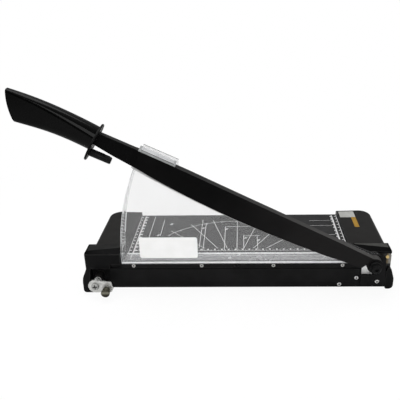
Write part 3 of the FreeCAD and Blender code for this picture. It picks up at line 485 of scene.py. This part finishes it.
def paint_recess_shade(name, radius, axes):
    """Painted shade in the drive of each screw: faces near an axis (x, z) and behind the head's front."""
    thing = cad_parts[name]
    thing.data.materials.append(recess_shade)
    fronts = []
    for x, z in axes:
        axis = at(x, 0, z)
        spots = [thing.matrix_world @ v.co for v in thing.data.vertices]
        front = min(p.y for p in spots if math.hypot(p.x - axis.x, p.z - axis.z) < radius / 1000)
        for face in thing.data.polygons:
            p = thing.matrix_world @ face.center
            if math.hypot(p.x - axis.x, p.z - axis.z) < DRIVE_SHARE * radius / 1000 and p.y > front + BEHIND_FRONT:
                face.material_index = 1
        fronts.append((axis.x, front, axis.z))
    return fronts


print("recess finish ready")

# %% [markdown]
# ## The shapes of the drives
# The small screws have a hexagon socket and the latch's screw a cross. Both are outlines in millimetres from the
# screw's axis, so one function can lay either on any head.

# %% Outlines of the drives
PLATE_THICK = 2e-5
sockets = bmesh.new()


def drive_plate(centre, outline):
    """Thin dark plate of painted shade on a screw's face, with corners given in millimetres from its axis."""
    x, y, z = centre
    rings = [[sockets.verts.new((x + u / 1000, y - off, z + w / 1000)) for u, w in outline]
             for off in (PLATE_THICK, 0)]
    sockets.faces.new(rings[0])
    sockets.faces.new(rings[1][::-1])
    for k in range(len(outline)):
        n = (k + 1) % len(outline)
        sockets.faces.new((rings[0][k], rings[1][k], rings[1][n], rings[0][n]))


def hexagon(radius):
    return [(radius * math.cos(math.radians(60 * k)), radius * math.sin(math.radians(60 * k))) for k in range(6)]


def cross(reach, half, turned=0.15):
    """Outline of a plus sign, turned a little as a tightened screw stands."""
    plus = [(half, half), (reach, half), (reach, -half), (half, -half), (half, -reach), (-half, -reach),
            (-half, -half), (-reach, -half), (-reach, half), (-half, half), (-half, reach), (half, reach)]
    c, s = math.cos(turned), math.sin(turned)
    return [(u * c - w * s, u * s + w * c) for u, w in plus]


print("a cross has", len(cross(3.4, 0.9)), "corners")

# %% [markdown]
# ## Drives on their screws
# Each screw is found by the X and Z of its axis, and the front of its head is measured from the node itself, so
# that the plate lies on the metal whatever the head's height.

# %% Place the drives
BED_KNIFE_SCREWS = [(x, 39.1) for x in (-147.2, -52.2, 47.4, 142.9)]
APRON_SCREWS = [(140.1, 8.2), (163.4, 18.7)]
BRACKET_SCREW = (191.6, 14.1)

for name, radius, axes, outline in (("bed_knife_screws", 2.5, BED_KNIFE_SCREWS, hexagon(1.35)),
                                    ("apron_screws", 2.5, APRON_SCREWS, hexagon(1.4)),
                                    ("bracket_screw", 3.0, [BRACKET_SCREW], hexagon(1.5)),
                                    ("latch_screw", 4.0, [LATCH_AXIS], cross(3.4, 0.9))):
    # Painted shade on each drive's faces, and a dark plate of painted shade on its outline.
    for centre in paint_recess_shade(name, radius, axes):
        drive_plate(centre, outline)


def settle(name, mesh, *finishes):
    """Object from a finished mesh, with its finishes, linked to the scene."""
    data = bpy.data.meshes.new(name)
    mesh.to_mesh(data)
    mesh.free()
    for finish in finishes:
        data.materials.append(finish)
    thing = bpy.data.objects.new(name, data)
    bpy.context.scene.collection.objects.link(thing)
    print(name, "faces:", len(data.polygons))
    return thing


bmesh.ops.recalc_face_normals(sockets, faces=sockets.faces)
screw_sockets = settle("screw_sockets", sockets, recess_shade)
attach(screw_sockets, "base")

# %% [markdown]
# ## The hinge plate
# The zinc plate behind the hinge shows in two small openings of the cover. The lower one is bright up to X 193 mm
# and painted black beyond 197 mm, a painted shade. The upper one is painted in steps along X from black, a painted
# shade under the block, through brown to grey.

# %% Zinc behind the hinge, with painted shade
def color_steps(tree, share, steps):
    """Colour ramp through (position, colour) steps, each below 1."""
    ramp = tree.nodes.new("ShaderNodeValToRGB")
    for i, (spot, tint) in enumerate(steps):
        mark = ramp.color_ramp.elements[0] if i == 0 else ramp.color_ramp.elements.new(spot)
        mark.position = spot
        mark.color = (*tint, 1)
    ramp.color_ramp.elements.remove(ramp.color_ramp.elements[-1])
    tree.links.new(share, ramp.inputs[0])
    return ramp.outputs[0]


# Painted shade: the black steps stand under the block; brown and grey follow along X.
UPPER_OPENING_STEPS = ((0.0, (0.004, 0.004, 0.004)), (0.67, (0.01, 0.008, 0.005)), (0.72, (0.12, 0.08, 0.03)),
          (0.79, (0.12, 0.1, 0.06)), (0.83, (0.16, 0.15, 0.13)), (0.99, (0.19, 0.18, 0.16)))

hinge_zinc, tree, shader = new_finish("hinge_zinc_plate", (0.85, 0.85, 0.84), 0.45, 0.15)
upper = color_steps(tree, along(tree, "X", 190, 210), UPPER_OPENING_STEPS)
# Painted shade: the lower opening turns black beyond X 197 mm.
lower = mix_color(tree, along(tree, "X", 193, 197), (0.95, 0.95, 0.94, 1), (0.004, 0.004, 0.004, 1))
plate_color_and_shade = mix_color(tree, along(tree, "Z", 38.5, 39.5), lower, upper)
tree.links.new(plate_color_and_shade, shader.inputs["Base Color"])
drift_gloss(tree, shader, noise_at(tree, 1.2), 0.38, 0.52)
grain(tree, shader, noise_at(tree, 0.3), 0.02, 0.3, 0.2)
dress(hinge_zinc, "hinge_plate")

# %% [markdown]
# ## Ground steel
# The moving blade is painted on its front and ground on its bevel and back, and the bed knife is ground on its
# top. Grinding marks run across the edge and make the gloss uneven in bands, which stretched noise gives. The
# painted and the ground faces are told apart by their normals, so each blade stays one mesh.

# %% The two cutting edges
ground, tree, shader = new_finish("ground_steel", (0.55, 0.55, 0.55), 0.28, 1.0)
drift_color(tree, shader, noise_at(tree, 6), (0.48, 0.48, 0.48), (0.6, 0.6, 0.6))
drift_gloss(tree, shader, noise_at(tree, 2, 3, (1, 8, 8)), 0.2, 0.36)
grain(tree, shader, noise_at(tree, 1, 3, (6, 1, 1)), 0.01, 0.3)
dress(ground, "moving_blade")
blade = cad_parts["moving_blade"].data
blade.materials.append(arm_paint)
for face in blade.polygons:
    face.material_index = 1 if face.normal.y < -0.95 else 0
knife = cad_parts["bed_knife"].data
knife.materials.append(ground)
for face in knife.polygons:
    face.material_index = 1 if face.normal.z > 0.9 else 0
print("painted faces of the blade:", sum(face.material_index == 1 for face in blade.polygons))

# %% [markdown]
# ## The latch knob
# The knob is turned from bar and nickel plated. The plating has yellowed, and its waist and rims mirror different
# heights of the room, which are painted into its colour as lighter and darker bands along Z, a painted reflection.

# %% Turned nickel
# Painted reflection: lighter and darker bands of colour along the knob's height.
REFLECTION_BANDS = ((0.0, (0.055, 0.052, 0.042)), (0.42, (0.038, 0.036, 0.028)), (0.5, (0.17, 0.165, 0.13)),
         (0.68, (0.17, 0.165, 0.13)), (0.76, (0.062, 0.059, 0.044)), (0.99, (0.075, 0.071, 0.054)))

nickel, tree, shader = new_finish("turned_nickel", (0.2, 0.19, 0.14), 0.34, 1.0)
tree.links.new(color_steps(tree, along(tree, "Z", 5, 19), REFLECTION_BANDS), shader.inputs["Base Color"])
drift_gloss(tree, shader, noise_at(tree, 1), 0.26, 0.42)
grain(tree, shader, noise_at(tree, 0.3), 0.02, 0.3, 0.15)
dress(nickel, "latch_knob")

# %% [markdown]
# ## Brass
# The pivot runs in a brass bush, and the hinge plate's screws are passivated yellow. Both are one warm metal with
# a slow drift in its colour.

# %% Brass bush and yellow screws
brass, tree, shader = new_finish("bearing_brass", (0.6, 0.45, 0.2), 0.35, 1.0)
drift_color(tree, shader, noise_at(tree, 2), (0.5, 0.37, 0.15), (0.66, 0.5, 0.24))
dress(brass, "pivot_bush", "hinge_plate_screws")

# %% [markdown]
# ## Springs
# A compression spring is one wire wound on a mandrel, with its last turn at each end closed and ground flat. The
# wire is drawn as a tube of round rings along that path, and the pitch grows from the closed end turns to the
# middle. The frame's springs are six-sided, so these round ones stand in for them.

# %% The path of a spring's wire
RINGS_PER_TURN, WIRE_SIDES = 28, 12


def wire_rings(start, length, mean_r, wire_r, turns, closed):
    """Rings of machine points round a wire that winds along +Y, with 'closed' flat turns at both ends."""
    middle = turns - 2 * closed
    for i in range(round(turns * RINGS_PER_TURN) + 1):
        turn = i / RINGS_PER_TURN
        inner = min(max(turn - closed, 0), middle)
        y = wire_r * 2 * min(turn - inner, 2 * closed) + inner / middle * (length - 4 * closed * wire_r)
        out = Vector((math.cos(math.tau * turn), 0, math.sin(math.tau * turn)))
        centre = Vector(start) + out * mean_r + Vector((0, y, 0))
        angles = [math.tau * k / WIRE_SIDES for k in range(WIRE_SIDES)]
        yield [centre + (out * math.cos(a) + Vector((0, math.sin(a), 0))) * wire_r for a in angles]


print("rings in the latch spring:", len(list(wire_rings((0, 0, 0), 11.5, 4.4, 0.6, 2.5, 0.25))))

# %% [markdown]
# ## Springs on their pins
# One spring pushes on the latch's screw and the other brakes the arm at its pivot. Both run along Y, so one
# function winds them, from the point where the wire starts.

# %% Wind the springs
def wind(name, node, body, finish, start, length, mean_r, wire_r, turns, closed):
    """Spring along +Y from the machine point start, in place of a node."""
    mesh = bmesh.new()
    rings = [[mesh.verts.new(at(*p)) for p in ring]
             for ring in wire_rings(start, length, mean_r, wire_r, turns, closed)]
    for a, b in zip(rings, rings[1:]):
        for k in range(WIRE_SIDES):
            n = (k + 1) % WIRE_SIDES
            mesh.faces.new((a[k], b[k], b[n], a[n]))
    mesh.faces.new(rings[0][::-1])
    mesh.faces.new(rings[-1])
    spring = settle(name, mesh, finish)
    for face in spring.data.polygons:
        face.use_smooth = True
    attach(spring, body)
    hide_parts(node)


wind("latch_spring_round", "latch_spring", "base", zinc,
     (LATCH_AXIS[0], -14.15, LATCH_AXIS[1]), 11.5, 4.4, 0.6, 2.5, 0.25)
wind("friction_spring_round", "friction_spring", "base", paint,
     (PIVOT[0], -19.85, PIVOT[1]), 2.8, 7.4, 0.75, 2, 0.5)

# %% [markdown]
# ## Rubber feet
# Rubber is dull, a little grey from dust and slightly rough to the touch. High roughness and a fine bump are
# enough, with no coat and no edge wear, since soft edges don't chip.

# %% Rubber
rubber, tree, shader = new_finish("foot_rubber", (0.025, 0.025, 0.025), 0.8)
drift_color(tree, shader, noise_at(tree, 4), (0.018, 0.018, 0.018), (0.035, 0.034, 0.033))
grain(tree, shader, noise_at(tree, 0.6), 0.05, 0.4)
dress(rubber, "rubber_feet")

# %% [markdown]
# ## The clear guard
# The guard is moulded acrylic: it lets light through, its edges gather light and look white, and its faces carry
# a thin haze of dust and fine scratches. Glass transmission with a small share of white scatter does this, and
# noise makes the haze uneven. Rays from the lamps see a plain transparent sheet, so that the table behind isn't
# lost in a shadow that clear acrylic doesn't throw. The foot, which paper rubs, is rougher than the wall.

# %% Clear acrylic
def clear_plastic(name, tint, low, high, wear):
    """Acrylic with a share of white scatter that wanders between low and high; wear is its roughness."""
    made, tree, shader = new_finish(name, (tint, tint, tint), 0.03)
    shader.inputs["Transmission Weight"].default_value = 1.0
    shader.inputs["IOR"].default_value = 1.49
    drift_gloss(tree, shader, noise_at(tree, 20), wear * 0.5, wear * 1.5)
    haze = tree.nodes.new("ShaderNodeBsdfDiffuse")
    haze.inputs["Color"].default_value = (0.7, 0.71, 0.72, 1)
    clear = tree.nodes.new("ShaderNodeBsdfTransparent")
    clear.inputs["Color"].default_value = (0.8, 0.8, 0.8, 1)
    share = remap(tree, noise_at(tree, 35), 0, 1, low, high)
    hazy = mix_shaders(tree, share, shader.outputs[0], haze.outputs[0])
    rays = tree.nodes.new("ShaderNodeLightPath")
    lit = mix_shaders(tree, rays.outputs["Is Shadow Ray"], hazy, clear.outputs[0])
    tree.links.new(lit, tree.nodes["Material Output"].inputs["Surface"])
    return made


dress(clear_plastic("clear_acrylic", 0.84, 0.035, 0.06, 0.03), "guard_wall")
dress(clear_plastic("worn_clear_acrylic", 0.895, 0.11, 0.17, 0.2), "guard_foot")

# %% [markdown]
# ## The guard's grip and its shaded edge
# The ribbed finger grip is thick and scuffed, so it is cloudy rather than clear. Near the hinge the upper edge of
# the wall lies against the black arm, mirrors it and lies in its shade, so a dark opaque finish paints that
# reflection and shade there.

# %% Cloudy grip and painted dark edge
DARK_EDGE_FROM_X = 60

cloudy, tree, shader = new_finish("cloudy_acrylic_grip", (0.62, 0.63, 0.63), 0.35)
shader.inputs["Transmission Weight"].default_value = 0.35
shader.inputs["IOR"].default_value = 1.2
drift_color(tree, shader, noise_at(tree, 12), (0.37, 0.38, 0.38), (0.49, 0.5, 0.5))
drift_gloss(tree, shader, noise_at(tree, 8), 0.3, 0.42)
dress(cloudy, "guard_grip")

# Painted reflection and shade: a dark opaque finish on the wall's top faces near the hinge.
dark_edge_paint, tree, shader = new_finish("shaded_acrylic_edge", (0.02, 0.02, 0.02), 0.5)
shader.inputs["Specular IOR Level"].default_value = 0.1
drift_color(tree, shader, noise_at(tree, 20), (0.015, 0.015, 0.015), (0.03, 0.03, 0.03))
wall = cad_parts["guard_wall"]
wall.data.materials.append(dark_edge_paint)
for face in wall.data.polygons:
    if (wall.matrix_world @ face.center).x > at(DARK_EDGE_FROM_X, 0, 0).x and face.normal.z > 0.5:
        face.material_index = 1
print("smoked faces:", sum(face.material_index == 1 for face in wall.data.polygons))

# %% [markdown]
# ## Painted light on the guard's edges
# Light that enters a clear sheet travels inside it and leaves at its cut edges, which therefore look white. A
# renderer with few bounces loses that light, so each edge gets a hair-thin ribbon of painted light that rides on the
# guard. Bright ribbons paint highlights on the foot, the rim and the grip's ribs, and dark ones paint the shade in
# the grip's grooves.

# %% Edge finishes
def edge_finish(name, color, roughness, dark, light, drift_mm):
    made, tree, shader = new_finish(name, color, roughness)
    drift_color(tree, shader, noise_at(tree, drift_mm), dark, light)
    return made, tree, shader


guard_edge_light, tree, shader = edge_finish("painted_edge_light", (0.62, 0.63, 0.64), 0.45, (0.5, 0.51, 0.52), (0.72, 0.73, 0.74), 9)
drift_gloss(tree, shader, noise_at(tree, 4), 0.35, 0.55)
guard_edge_highlight = edge_finish("painted_edge_highlight", (0.85, 0.86, 0.87), 0.4, (0.78, 0.79, 0.8), (0.92, 0.93, 0.94), 9)[0]
guard_groove_shade = edge_finish("shaded_groove", (0.13, 0.13, 0.13), 0.6, (0.1, 0.1, 0.1), (0.16, 0.16, 0.16), 5)[0]
EDGE_LIGHT, EDGE_HIGHLIGHT, GROOVE_SHADE = range(3)
print("edge finishes:", guard_edge_light.name, guard_edge_highlight.name, guard_groove_shade.name)

# %% [markdown]
# ## Ribbons along a path
# An edge is a path of points in a plane across Y: a straight line, an arc about the pivot, or a line given along
# the raised arm. A ribbon is a rod with a small rectangular section swept along it, which needs no curve object.

# %% Ribbons and the paths they follow
ARM_ANGLE = 24
ARC_STEPS = 40
edge_mesh = bmesh.new()


def ribbon(path, y, deep, high, finish=EDGE_LIGHT):
    """Thin rod through the (x, z) points of path at depth y; deep along Y, high across the path."""
    rings, first = [], len(edge_mesh.faces)
    for i, (x, z) in enumerate(path):
        before, after = path[max(i - 1, 0)], path[min(i + 1, len(path) - 1)]
        across = Vector((before[1] - after[1], 0, after[0] - before[0])).normalized() * high / 2
        middle, back = Vector((x, y, z)), Vector((0, deep / 2, 0))
        rings.append([edge_mesh.verts.new(at(*p)) for p in (middle - across - back, middle + across - back,
                                                            middle + across + back, middle - across + back)])
    for a, b in zip(rings, rings[1:]):
        for k in range(4):
            edge_mesh.faces.new((a[k], b[k], b[(k + 1) % 4], a[(k + 1) % 4]))
    edge_mesh.faces.new(rings[0][::-1])
    edge_mesh.faces.new(rings[-1])
    edge_mesh.faces.ensure_lookup_table()
    for face in edge_mesh.faces[first:]:
        face.material_index = finish


def arc(radius, start, stop):
    """Points on a circle about the pivot, with angles in degrees above the line towards the grip."""
    steps = [start + (stop - start) * i / ARC_STEPS for i in range(ARC_STEPS + 1)]
    return [(PIVOT[0] - radius * math.cos(math.radians(a)), PIVOT[1] + radius * math.sin(math.radians(a)))
            for a in steps]


def on_arm(reach, high):
    """(x, z) of a point given along and above the pivot line of the raised arm."""
    c, s = math.cos(math.radians(ARM_ANGLE)), math.sin(math.radians(ARM_ANGLE))
    return (PIVOT[0] - reach * c + high * s, PIVOT[1] + reach * s + high * c)


print("top rib of the grip starts at", [round(c, 1) for c in on_arm(302, 28.8)])

# %% [markdown]
# ## Ribbons on the guard
# The foot's front, its turned-up rear lip, the curved rim's two sides and the ribs of the grip each get their
# ribbon. They lie a few hundredths to a tenth of a millimetre proud, since faces in one plane would flicker.

# %% Lay the ribbons
GRIP_RIBS, RIB_PITCH = 5, 2.84

# Painted highlights: bright ribbons on the foot's front and its rear lip.
ribbon([(-163.5, 43.8), (150, 43.8)], 0.97, 0.1, 2.4, EDGE_HIGHLIGHT)
ribbon([(-160.5, 45.5), (148, 45.5)], 25.0, 2.0, 0.1, EDGE_HIGHLIGHT)
ribbon([(-160.5, 44.8), (148, 44.8)], 23.95, 0.1, 1.3, EDGE_HIGHLIGHT)
# Painted highlight on the rim's inner bend.
ribbon(arc(344.9, 5.6, 10.7), 25.6, 0.3, 0.9, EDGE_HIGHLIGHT)
# Painted highlights on the grip's ribs and painted shade in its grooves.
for i in range(GRIP_RIBS):
    y = -14.8 + i * RIB_PITCH
    ribbon([on_arm(302, 28.8), on_arm(346, 30.4)], y + 0.75, 1.3, 0.1, EDGE_HIGHLIGHT)
    ribbon([on_arm(301.7, 28.19), on_arm(346.3, 29.81)], y - 0.04, 0.06, 0.85, GROOVE_SHADE)
# Painted light along the guard's edges and rim.
ribbon([(-156, 44.33), (148, 44.33)], 19.5, 0.5, 0.06)
ribbon(arc(347.2, -0.5, 23.6), 1.0, 0.3, 0.45)
ribbon(arc(347.2, 1.0, 23.6), 25.8, 0.3, 0.25)
ribbon(arc(345.3, -0.3, 23.6), 0.97, 0.1, 0.3)
ribbon(arc(345.4, 1.0, 23.6), 25.8, 0.2, 0.2)

guard_edges = settle("guard_edge_lines", edge_mesh, guard_edge_light, guard_edge_highlight, guard_groove_shade)
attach(guard_edges, "guard")

# %% [markdown]
# ## Labels
# The white film on the guard, the pale plate and the amber strip on the right cover are left blank. Film is
# smooth and slightly glossy, and what shows that it is film is a slow drift of both colour and gloss.

# %% Blank films
def film_finish(name, color, roughness, tint_mm, dark, light, gloss_mm, low, high):
    made, tree, shader = new_finish(name, color, roughness)
    drift_color(tree, shader, noise_at(tree, tint_mm), dark, light)
    drift_gloss(tree, shader, noise_at(tree, gloss_mm), low, high)
    return made, shader


dress(film_finish("white_label_film", (0.93, 0.93, 0.92), 0.35, 20, (0.91, 0.91, 0.9), (0.95, 0.95, 0.945),
                  8, 0.3, 0.42)[0], "guard_label")
dress(film_finish("pale_cover_label", (0.5, 0.5, 0.49), 0.4, 12, (0.3, 0.3, 0.285), (0.37, 0.37, 0.355),
                  6, 0.34, 0.46)[0], "cover_label")
amber, shader = film_finish("amber_label_film", (0.4, 0.2, 0.015), 0.4, 20, (0.24, 0.13, 0.016), (0.3, 0.17, 0.024),
                            8, 0.3, 0.42)
shader.inputs["Specular IOR Level"].default_value = 0.1
dress(amber, "cover_strip")

# %% [markdown]
# ## The mat
# The mat is a dark grey sheet with a fine leather-like grain. It is a flat solid, so the grain is bump alone, and
# a slow drift over six centimetres keeps so large a plain surface from looking painted in one stroke.

# %% Dark grey mat
mat, tree, shader = new_finish("dark_grey_mat", (0.018, 0.018, 0.0185), 0.5)
shader.inputs["Specular IOR Level"].default_value = 0.14
drift_color(tree, shader, noise_at(tree, 60), (0.014, 0.014, 0.0145), (0.02, 0.02, 0.0205))
drift_gloss(tree, shader, noise_at(tree, 10), 0.42, 0.58)
grain(tree, shader, noise_at(tree, 0.5), 0.03, 0.3)
dress(mat, "cutting_mat")

# %% [markdown]
# ## Printed lines
# The print is ink a few hundredths of a millimetre thick. Each line is a flat bar laid on the mat, all in one
# mesh, which stays sharp at any zoom as real geometry. An image on the mat would blur close up.

# %% Ink and one bar of it
INK_THICK = 0.05
LINE = 0.8

ink, tree, shader = new_finish("pale_print_ink", (0.8, 0.8, 0.8), 0.5)
drift_color(tree, shader, noise_at(tree, 3), (0.72, 0.72, 0.72), (0.86, 0.86, 0.86))
print_mesh = bmesh.new()


def bar(x0, y0, x1, y1, width=LINE):
    """Flat bar of ink from one point of the mat to another, in machine millimetres."""
    run = Vector((x1 - x0, y1 - y0, 0))
    side = Vector((-run.y, run.x, 0)).normalized() * width / 2
    corners = [Vector((x0, y0, 0)) - side, Vector((x1, y1, 0)) - side,
               Vector((x1, y1, 0)) + side, Vector((x0, y0, 0)) + side]
    low = [print_mesh.verts.new(at(p.x, p.y, MAT_TOP)) for p in corners]
    high = [print_mesh.verts.new(at(p.x, p.y, MAT_TOP + INK_THICK)) for p in corners]
    print_mesh.faces.new(high)
    print_mesh.faces.new(low[::-1])
    for i in range(4):
        j = (i + 1) % 4
        print_mesh.faces.new((low[i], low[j], high[j], high[i]))


print("ink is", INK_THICK, "mm thick, lines are", LINE, "mm wide")

# %% [markdown]
# ## Rulers and cross line
# Two side rulers carry millimetre ticks, longer at each centimetre, and a ladder of marks beside them. The cross
# line marks where the clamp ends, with a tick every five millimetres and a block every ten.

# %% Rulers and cross line
CENTRE_X = -5.5
RULER_FROM, RULER_TO, SCALE_FROM = 14, 154, 30


def ruler(x, edge, step, tooth):
    """Bright line with millimetre ticks towards the mat's middle, and a ladder of marks near its edge."""
    bar(x, RULER_FROM, x, RULER_TO, 1.6)
    for i in range(RULER_TO - SCALE_FROM):
        y = SCALE_FROM + i
        bar(x, y, x + step * (tooth * 1.6 if i % 10 == 0 else 2.0), y, tooth if i % 10 == 0 else 0.35)
    bar(edge, 20, edge, RULER_TO, 0.9)
    for y in range(SCALE_FROM, RULER_TO, 10):
        bar(edge + step, y, edge + step * 3.4, y, tooth - 0.6)


ruler(-153.6, -160.2, 1, 3.0)
ruler(150.2, 157.2, -1, 2.1)
bar(-153, 38.5, 150, 38.5, 0.6)
for i in range(61):
    x = CENTRE_X + (i - 30) * 5
    if -150 < x < 148:
        bar(x, 38.5, x, 41, 0.6)
        if i % 2 == 0:
            bar(x - 1.2, 42, x + 1.2, 42, 2.6)
print("ink faces so far:", len(print_mesh.faces))

# %% [markdown]
# ## Protractor
# Six rays at 15, 30 and 45 degrees start at the cross line and end a little beyond an arc, which is drawn as
# short bars of two degrees each, with a tick at every ten.

# %% Protractor
ARC_R = 134.5


def ray(angle, near, far):
    """Protractor line at that angle from the cross line, between two distances from its centre."""
    u, v = math.sin(math.radians(angle)), math.cos(math.radians(angle))
    bar(CENTRE_X + u * near, v * near, CENTRE_X + u * far, v * far)


for angle in (-45, -30, -15, 15, 30, 45):
    ray(angle, 45 / math.cos(math.radians(angle)), ARC_R + 8)
for angle in range(-50, 50, 2):
    a, b = math.radians(angle), math.radians(angle + 2)
    bar(CENTRE_X + ARC_R * math.sin(a), ARC_R * math.cos(a), CENTRE_X + ARC_R * math.sin(b), ARC_R * math.cos(b))
    if angle % 10 == 0:
        ray(angle, ARC_R - 3, ARC_R)
print("ink faces so far:", len(print_mesh.faces))

# %% [markdown]
# ## Size outlines
# Upright and level lines outline the common card and sheet sizes. Each size would have its name beside it; two
# short strokes stand in the place of every name.

# %% Size outlines
UPRIGHTS = ((-137.8, 78, 153), (-121.2, 86, 140), (-59, 45, 139), (-53, 39, 128), (-22, 39, 115),
            (-3.4, 39, 134), (6.4, 41, 84), (27, 38, 85))
LEVELS = ((115.5, -22, 27), (84.5, 5.5, 31), (116.8, 112, 146), (86, 114, 146), (134.7, 112, 147))
NAMES = ((-108, 125), (-124.4, 87), (-56.5, 110), (-20.3, 106.5), (9.3, 77.5), (28.7, 69.5))

for x, low, high in UPRIGHTS:
    bar(x, low, x, high)
for y, left, right in LEVELS:
    bar(left, y, right, y, 0.3 if left > 100 else LINE)
for x, y in NAMES:
    bar(x - 2.6, y - 1.5, x + 1.4, y - 1.5, 1.6)
    bar(x - 1.2, y + 1.5, x + 2.8, y + 1.5, 1.6)

mat_print = settle("mat_print", print_mesh, ink)
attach(mat_print, "base")

# %% [markdown]
# ## The floor
# A plain pale floor carries the machine's soft shadow. The lens sees it mixed with plain white, nearly all white
# at the machine and wholly white from sixty centimetres on, so that it meets the white sweep with no line while
# the shadow stays. A shadow catcher would need a compositor, and this doesn't.

# %% Floor
HALF = 8.0
FADE = dict(low=0.2, high=0.6, out_low=0.92, out_high=1.0)

floor_finish, tree, shader = new_finish("pale_floor", (0.9, 0.9, 0.9), 0.9)
shader.inputs["Specular IOR Level"].default_value = 0.1
drift_color(tree, shader, noise_at(tree, 300), (0.89, 0.89, 0.89), (0.91, 0.91, 0.91))
glow = tree.nodes.new("ShaderNodeEmission")
glow.inputs["Color"].default_value = (1, 1, 1, 1)
away = tree.nodes.new("ShaderNodeVectorMath")
away.operation = "LENGTH"
tree.links.new(tree.nodes.new("ShaderNodeTexCoord").outputs["Object"], away.inputs[0])
rays = tree.nodes.new("ShaderNodeLightPath")
share = calculate(tree, "MULTIPLY", rays.outputs["Is Camera Ray"], remap(tree, away.outputs["Value"], **FADE))
seen = mix_shaders(tree, share, shader.outputs[0], glow.outputs[0])
tree.links.new(seen, tree.nodes["Material Output"].inputs["Surface"])

sheet = bmesh.new()
sheet.faces.new([sheet.verts.new((x * HALF, y * HALF, 0)) for x, y in ((-1, -1), (1, -1), (1, 1), (-1, 1))])
floor = settle("floor", sheet, floor_finish)

# %% [markdown]
# ## Finish
# The picture is shown with plain sRGB, so that a colour comes out as it was written.

# %% Finish
bpy.context.scene.view_settings.view_transform = "Standard"
